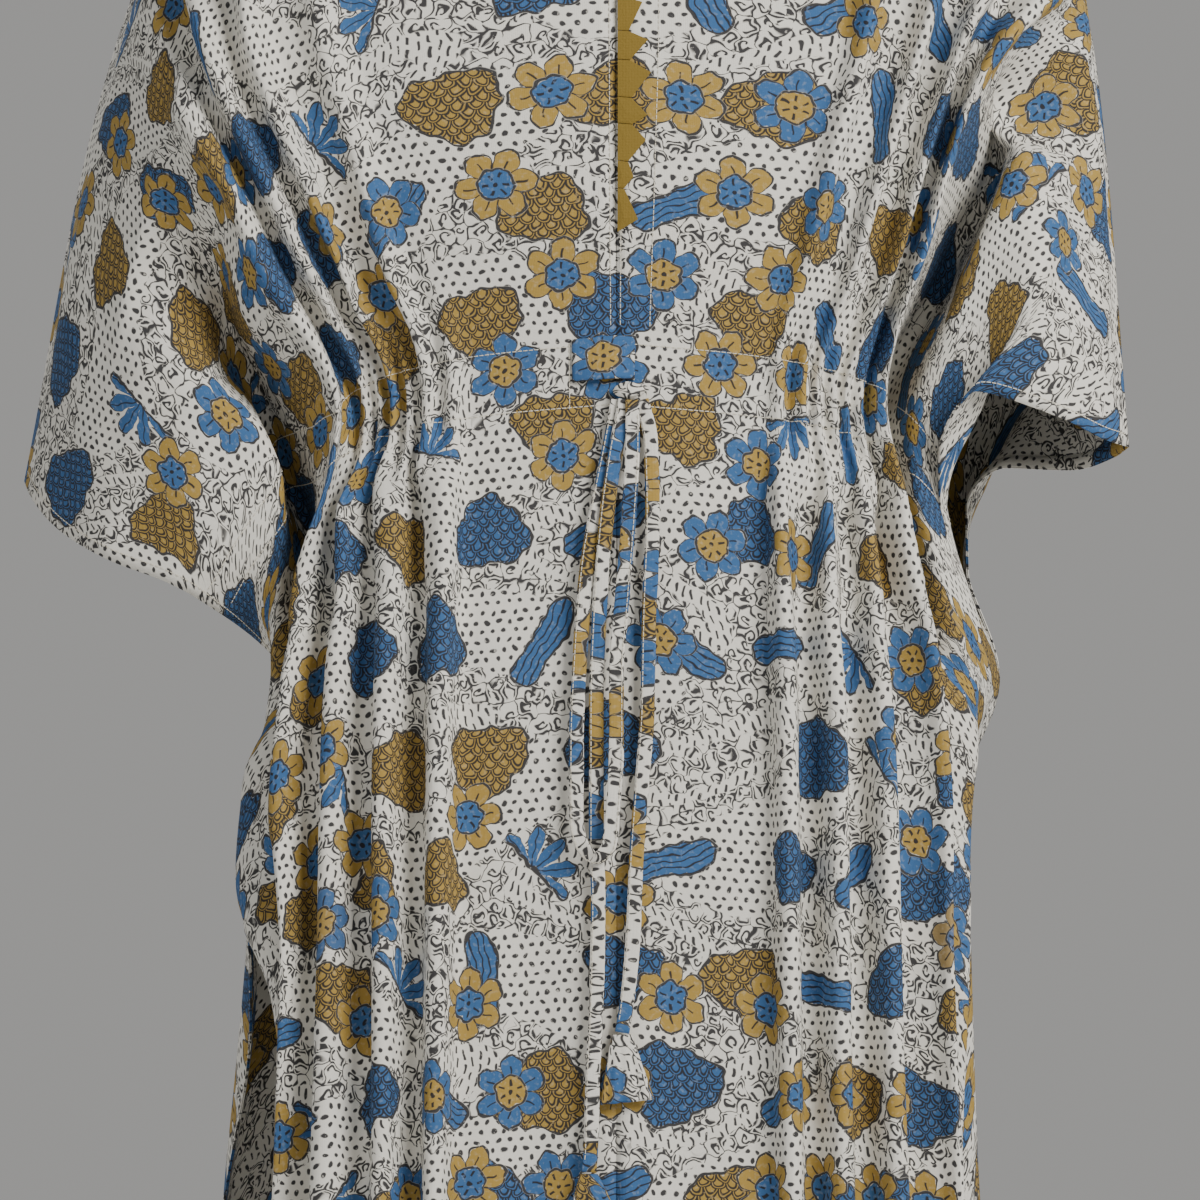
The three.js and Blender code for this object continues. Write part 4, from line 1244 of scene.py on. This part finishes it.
def hem_strip(bm, cloth, side, line, *where):
    """A strip from the edge inwards. The line's function gives guides and drops at an inset."""
    outer, inner = line(*where, HEM_EDGE), line(*where, HEM)
    places, uvs = [], []
    for share in (0, 0.5, 1):
        guides = outer[0] * (1 - share) + inner[0] * share
        drops = outer[1] * (1 - share) + inner[1] * share
        points, normals, row_uvs = on_cloth(cloth, side, guides, drops)
        places.append(points + normals * HEM_LIFT * 0.001)
        uvs.append(row_uvs)
    lay_grid(bm, places, uvs)


def make_hems(cloth):
    bm = bmesh.new()
    for side in SIGN:
        for first, last in ((6, UNDERARM_DROP), (SLIT_TOP_DROP + 4, CENTRE_LENGTH - 3)):
            hem_strip(bm, cloth, side, side_line, cloth, side, first, last)
        hem_strip(bm, cloth, side, foot_line)
    face_out(bm)
    return keep(piece_from(bm, cloth["name"] + "_hems", HEM_WALL))


front_hems, back_hems = make_hems(FRONT), make_hems(BACK)
print("hem faces:", len(front_hems.data.polygons), len(back_hems.data.polygons))

# %% [markdown]
# ## Stitches
# A sewing machine leaves a row of short cream threads that sink into the cloth at their ends. Each row is
# one long strip whose gaps are cut away, so every stitch is a small arch. Rows run along the hems, round
# the neck, beside the slit and twice round the waist, where they hold the casing for the drawstring.

# %% One row of stitches
STITCH_PITCH = 3.1
STITCH_PLACES = (0.3, 1.45, 2.6)
STITCH_LIFTS = (0.05, 0.4, 0.05)
STITCH_WIDTH = 0.5
STITCH_WALL = 0.0003


def stitch_row(bm, points, normals):
    """A row of short arched threads at an even pitch along a line of points."""
    lengths = gone_along(points) * 1000
    starts = np.arange(0, lengths[-1] - STITCH_PITCH, STITCH_PITCH)
    at = (starts[:, None] + STITCH_PLACES).ravel()
    middle, normal = points_at(at, lengths, points), points_at(at, lengths, normals)
    side = np.cross(normal, np.gradient(middle, axis=0))
    side *= STITCH_WIDTH * 0.0005 / np.linalg.norm(side, axis=1)[:, None]
    middle += normal * np.tile(STITCH_LIFTS, len(starts))[:, None] * 0.001
    made = bmesh.ops.create_grid(bm, x_segments=1, y_segments=len(at) - 1, size=1)["verts"]
    rows = {vert: round((1 - vert.co.y) / 2 * (len(at) - 1)) for vert in made}
    for vert, row in rows.items():
        vert.co = middle[row] + side[row] * vert.co.x
    strip = {face for vert in made for face in vert.link_faces}
    gaps = [face for face in strip if min(rows[vert] for vert in face.verts) % 3 == 2]
    bmesh.ops.delete(bm, geom=gaps, context="FACES")


def stitch_on(bm, cloth, side, guides, drops):
    points, normals, _ = on_cloth(cloth, side, guides, drops)
    stitch_row(bm, points, normals)


def finish_stitches(bm, name):
    piece = piece_from(bm, name, STITCH_WALL, smoothed=False)
    return keep(piece, slot="trim_cloth", material=thread)


print("stitches to a decimetre:", round(100 / STITCH_PITCH))

# %% Rows on the panels
CASING_STITCHES = (416, 450)
CASING_GUIDES = np.linspace(0.004, 0.985, 400)
NECK_STITCHES, NECK_POINTS = 3.5, 60
# side, out, first drop, last drop, points: beside the slit, then the flap's outer side
SLIT_STITCHES = [
    ("left", 3, NOTCH_DROP, 408, 60),
    ("right", 2.2, NOTCH_DROP, 408, 60),
    ("right", 18, NOTCH_DROP, 408, 60),
    ("left", 25.5, 414, 452, 12),
]


def panel_stitches(cloth):
    bm = bmesh.new()
    last, lower = (NOTCH_DROP - 3, 0) if cloth is FRONT else (BACK_NECK_DROP, 4)
    for side in SIGN:
        stitch_on(bm, cloth, side, *side_line(cloth, side, 8, UNDERARM_DROP, STITCH_INSET))
        stitch_on(bm, cloth, side, *side_line(cloth, side, SLIT_TOP_DROP, CENTRE_LENGTH - 8, STITCH_INSET))
        stitch_on(bm, cloth, side, *foot_line(STITCH_INSET))
        for drop in CASING_STITCHES:
            stitch_on(bm, cloth, side, CASING_GUIDES, drop)
        drops = np.linspace(2, last, NECK_POINTS)
        neck = np.array([start_out(cloth, drop) for drop in drops]) + NECK_STITCHES
        stitch_on(bm, cloth, side, guide_at(cloth, side, neck, drops), drops + lower)
    return bm


def front_stitches():
    bm = panel_stitches(FRONT)
    for side, out, first, last, count in SLIT_STITCHES:
        drops = np.linspace(first, last, count)
        stitch_on(bm, FRONT, side, guide_at(FRONT, side, out, drops), drops)
    return finish_stitches(bm, "front_stitches")


stitched_front = front_stitches()
stitched_back = finish_stitches(panel_stitches(BACK), "back_stitches")
print("stitch faces:", len(stitched_front.data.polygons), len(stitched_back.data.polygons))

# %% [markdown]
# ## The trim of the slit
# Seven small squares of mustard cotton are each folded twice to a point and caught in the seam along
# the slit. Each point is a fan of five corners round a raised middle, thick enough to stand off the
# panel.

# %% Fold the points
# out, drop
TIPS = [(11, 227), (13.5, 247), (15, 265), (14, 289), (13.5, 303), (8, 324), (10.5, 347)]
NOTCHES = [(4, 225), (5.2, 243), (5.8, 259), (6.6, 280), (7, 295), (5.4, 316), (3.6, 331), (0.6, 355)]
POINT_START = 0.5
POINT_WALL, POINT_EDGE = 0.0013, 0.0003
MIDDLE_LIFT = 1.7
CORNER_LIFTS = (1.8, 1.8, 1.3, 0.8, 0.8)


def fold_point(index):
    before, tip, after = NOTCHES[index], TIPS[index], NOTCHES[index + 1]
    gap = SEAM_GAP / 2
    corners = [(POINT_START, before[1] + gap), (before[0], before[1] + gap), tip,
               (after[0], after[1] - gap), (POINT_START, after[1] - gap)]
    bm = bmesh.new()
    made = bmesh.ops.create_circle(bm, cap_ends=True, cap_tris=True, segments=5, radius=1)["verts"]
    rim = sorted((v for v in made if v.co.length > 0.5), key=lambda v: math.atan2(v.co.y, v.co.x))
    for vert, (out, drop), lift in zip(rim, corners, CORNER_LIFTS):
        vert.co = near_middle(out, drop, lift)[0]
    for vert in made:
        if vert not in rim:
            vert.co = near_middle(tip[0] / 3, tip[1], MIDDLE_LIFT)[0]
    face_out(bm, -1)
    piece = piece_from(bm, f"point_{index + 1}", POINT_WALL, smoothed=False)
    soft = piece.modifiers.new("soft edges", "BEVEL")
    soft.width = POINT_EDGE
    soft.segments = 2
    return keep(piece, f"trim_point_{index + 1}", slot="trim_cloth", material=mustard)


points = [fold_point(index) for index in range(len(TIPS))]
print("folded points:", len(points))

# %% [markdown]
# ## The opening of the casing
# Where the drawstring comes out there is a short flap, sewn down along its top and its outer side and
# open below. It is cut from the same cloth, and its print doesn't quite meet the print around it.

# %% The flap
FLAP = {"left": -24, "right": 10, "top": 412, "bottom": 436}
FLAP_ROWS, FLAP_COLUMNS = 13, 17
FLAP_LIFT, FLAP_OPENS = 1.2, 4.0
FLAP_WALL = 0.001
FLAP_PRINT_SHIFT = np.array([0.031, 0.047])


def make_flap():
    places, uvs = [], []
    for down in np.linspace(0, 1, FLAP_ROWS):
        row, row_uv = [], []
        for across in np.linspace(0, 1, FLAP_COLUMNS):
            out = FLAP["left"] + (FLAP["right"] - FLAP["left"]) * across
            drop = FLAP["top"] + (FLAP["bottom"] - FLAP["top"]) * down
            lift = FLAP_LIFT + FLAP_OPENS * float(smooth(down)) * math.sin(math.pi * min(1, across * 1.1))
            place, uv = near_middle(out, drop, lift)
            row.append(place)
            row_uv.append(uv + FLAP_PRINT_SHIFT)
        places.append(row)
        uvs.append(row_uv)
    bm = bmesh.new()
    lay_grid(bm, places, uvs)
    face_out(bm)
    return keep(piece_from(bm, "casing_opening", FLAP_WALL), "casing_flap")


flap = make_flap()
print("flap faces:", len(flap.data.polygons))

# %% [markdown]
# ## The drawstring
# A strip of the printed cloth is folded lengthwise, turned and topstitched along one edge, which makes
# a flat tube. It comes out under the flap, where its two ends are drawn together. One loop hangs
# a quarter of a metre, and two tails hang below it. Each run is an oval swept along its line.

# %% The routes of the drawstring
TIE_WIDTH, TIE_THICKNESS, TIE_LEAN = 8.6, 1.4, 0.6
# x, z, and how far in front of the cloth
LOOP = [
    (1, -448.2, 4), (-3, -470, 4.8), (-9, -500, 5.6), (-16, -540, 6), (-20, -590, 6), (-22, -640, 6),
    (-22, -680, 6.5), (-19, -693, 9), (-11, -700, 12), (-4, -693, 13.5), (-2, -674, 13.5),
    (0, -640, 13), (0, -600, 12.5), (3, -560, 12), (7, -510, 11.5), (9, -470, 10.2), (9, -448.4, 9),
]
TAIL_LEFT = [
    (5, -448.2, 6.5), (0, -475, 7.9), (-5, -510, 8.7), (-9, -560, 8), (-11, -620, 7), (-11, -660, 6),
    (-11, -690, 5.6), (-10, -720, 5.6), (-11, -780, 5.8), (-13, -820, 6), (-14, -860, 6), (-15, -872, 6),
]
TAIL_RIGHT = [
    (14, -448.2, 4), (19, -470, 5.2), (20, -510, 6.4), (18, -570, 6.4), (17, -620, 6),
    (14, -660, 6), (11, -700, 6), (9, -745, 6), (5, -785, 6), (3, -796, 6),
]
print("places on the three routes:", len(LOOP), len(TAIL_LEFT), len(TAIL_RIGHT))

# %% Sweep the flat tube
TUBE_POINTS = 17
TIE_STEP = 2.5
RIPPLE, NARROWING = 0.35, 0.06
TIE_STITCHES = 0.34


def hanging(x, z, off):
    return np.array([x, read(FRONT_LEFT, -z)[0, 0] - SEAM_GAP / 2 - off, z])


def tie_line(places):
    """Even points along a smooth line through the places, with the way they run and face."""
    knots = np.array([hanging(*place) for place in places])
    gone = gone_along(knots)
    line = follow(gone, knots, np.linspace(0, gone[-1], int(gone[-1] / TIE_STEP) + 1))
    run = np.gradient(line, axis=0)
    run /= np.linalg.norm(run, axis=1)[:, None]
    face = np.zeros_like(run)
    face[:, 1] = -1
    face[:, 2] = -TIE_LEAN * np.abs(run[:, 0])
    face -= (face * run).sum(axis=1)[:, None] * run
    face /= np.linalg.norm(face, axis=1)[:, None]
    return line + face * TIE_THICKNESS / 2, face, np.cross(run, face)


def flat_tube(width, thickness):
    """Places round a flat tube, as shares across and shares out, flatter than an oval."""
    turn = np.linspace(0, 2 * math.pi, TUBE_POINTS)
    across = np.sign(np.cos(turn)) * np.abs(np.cos(turn)) ** 0.6 * width / 2
    out = np.sign(np.sin(turn)) * np.abs(np.sin(turn)) ** 0.8 * thickness / 2
    return across, out


def make_tie(name, places, node, uv_start, seed):
    line, face, across = tie_line(places)
    wide, thick = flat_tube(TIE_WIDTH, TIE_THICKNESS)
    along_line = np.arange(len(line)) * TIE_STEP
    ripple = RIPPLE * waves(seed, along_line / 9, along_line / 30, 1)
    narrow = 1 - NARROWING * (1 + waves(seed + 1, along_line / 14, along_line / 40, 1))
    points = (line[:, None] + across[:, None] * (wide[None, :] * narrow[:, None])[:, :, None]
              + face[:, None] * (thick[None, :] + ripple[:, None] * (wide / TIE_WIDTH)[None, :])[:, :, None])
    round_it = np.linspace(0, 2 * TIE_WIDTH, TUBE_POINTS)
    u, v = np.broadcast_arrays(uv_start[0] + round_it[None, :], uv_start[1] - along_line[:, None])
    uvs = np.stack([u, v], axis=2)
    bm = bmesh.new()
    lay_grid(bm, points * 0.001, uvs * 0.001, tube=True)
    bmesh.ops.holes_fill(bm, edges=[e for e in bm.edges if e.is_boundary], sides=0)
    face_out(bm)
    tie = keep(piece_from(bm, name), node, slot="tie_cloth")
    stitches = bmesh.new()
    rows = slice(2, -2)
    edge = line + across * (TIE_WIDTH * TIE_STITCHES) + face * (TIE_THICKNESS / 2 + 0.02)
    stitch_row(stitches, edge[rows] * 0.001, face[rows])
    return tie, line * 0.001, finish_stitches(stitches, name + "_stitches")


TIES = {
    "loop": make_tie("drawstring_loop", LOOP, "tie_loop", (12, 60), 31),
    "left": make_tie("drawstring_tail_left", TAIL_LEFT, "tie_tail_left", (66, 150), 37),
    "right": make_tie("drawstring_tail_right", TAIL_RIGHT, "tie_tail_right", (118, 20), 41),
}
for name, (_, line, _) in TIES.items():
    print(name, "is", round(gone_along(line)[-1], 3), "m long")

# %% [markdown]
# ## The ends and the knot
# Each tail ends in a little skirt of cloth, gathered at the top and open at the foot, that keeps it
# from slipping back through the casing. Where the runs come out they are drawn into a tight bundle.

# %% Ends of the drawstring
SKIRT_THICK, SKIRT_SPREAD = 1.3, 1.1
FLUTES, FLUTE_DEPTH = 9, 0.5
END_LEFT = {"x": -15, "top": -873.1, "off": 6, "height": 42, "top_width": 10, "foot_width": 40, "lean": 4}
END_RIGHT = {"x": 3, "top": -797.1, "off": 6, "height": 37, "top_width": 11, "foot_width": 30, "lean": 3}
END_POINTS, END_ROWS = 49, 22


def make_end(name, end, node, uv_start):
    turn = np.linspace(0, 2 * math.pi, END_POINTS)
    places, uvs = [], []
    for share in np.linspace(0, 1, END_ROWS):
        half = (end["top_width"] + (end["foot_width"] - end["top_width"]) * share**0.9) / 2
        thick = SKIRT_THICK + SKIRT_SPREAD * share
        flutes = 1 + FLUTE_DEPTH * share * np.cos(turn * FLUTES)
        across = np.cos(turn) * (half - 0.2) + end["lean"] * share
        out = np.sin(turn) * thick * flutes
        tilt = 1 - 0.04 * (across / half) * share
        below = end["height"] * share
        middle = hanging(end["x"], end["top"] - below, end["off"])
        row = [middle[0] + across, middle[1] - out, end["top"] - below * tilt]
        places.append(np.stack(row, axis=1) * 0.001)
        uvs.append(np.stack([uv_start[0] + turn * half, uv_start[1] - below + 0 * turn], axis=1) * 0.001)
    bm = bmesh.new()
    lay_grid(bm, places, uvs, tube=True)
    rim = (edge for edge in bm.edges if edge.is_boundary)
    top = [edge for edge in rim if edge.verts[0].co.z > end["top"] * 0.001 - 0.001]
    bmesh.ops.holes_fill(bm, edges=top, sides=0)
    face_out(bm)
    return keep(piece_from(bm, name, CLOTH_WALL, -1), node, slot="tie_cloth")


end_left = make_end("end_left", END_LEFT, "tie_end_left", (30, 40))
end_right = make_end("end_right", END_RIGHT, "tie_end_right", (42, -50))
print("faces of the ends:", len(end_left.data.polygons), len(end_right.data.polygons))

# %% The knot
KNOT_PLACE = (7, -443, 5.7)
KNOT_WIDE, KNOT_THICK = 8.9, 4.9
GROOVES, GROOVE_DEPTH, PINCH = 5, 0.09, 0.25


def make_knot():
    bm = bmesh.new()
    bm.loops.layers.uv.new("UVMap")
    made = bmesh.ops.create_uvsphere(bm, u_segments=32, v_segments=20, radius=1, calc_uvs=True)["verts"]
    middle = hanging(*KNOT_PLACE)
    for vert in made:
        x, y, z = vert.co
        groove = 1 + GROOVE_DEPTH * math.cos(GROOVES * math.atan2(z, y) + 3 * x)
        pinch = 1 - PINCH * x * x
        thick = KNOT_THICK * groove * pinch
        vert.co = (middle + np.array([x * KNOT_WIDE, y * thick, z * thick])) * 0.001
    uv = bm.loops.layers.uv["UVMap"]
    for face in bm.faces:
        for loop in face.loops:
            loop[uv].uv = (loop.vert.co.x + 0.06, loop.vert.co.z * 1.3 + 0.4)
    face_out(bm)
    return keep(piece_from(bm, "knot"), "tie_knot", slot="tie_cloth")


knot = make_knot()
print("faces of the knot:", len(knot.data.polygons))

# %% [markdown]
# ## The size of the cut
# The area of each panel's cut is summed in strips down the centre line, from the side edge and the
# neckline, in square metres.


def cut_area(cloth):
    """The area of one panel's cut, by trapezoids down the centre line, in square metres."""
    drops = np.linspace(0, CENTRE_LENGTH, 500)
    edge_drops, edge_outs = read(SIDE_EDGE, drops).T
    widths = edge_outs - [start_out(cloth, drop) for drop in drops]
    heights = (np.gradient(drops) + np.gradient(edge_drops)) / 2
    return float((widths * heights).sum() * 2e-6)


cut_area(FRONT)
cut_area(BACK)
print("cut areas:", round(cut_area(FRONT), 3), round(cut_area(BACK), 3), "square metres")
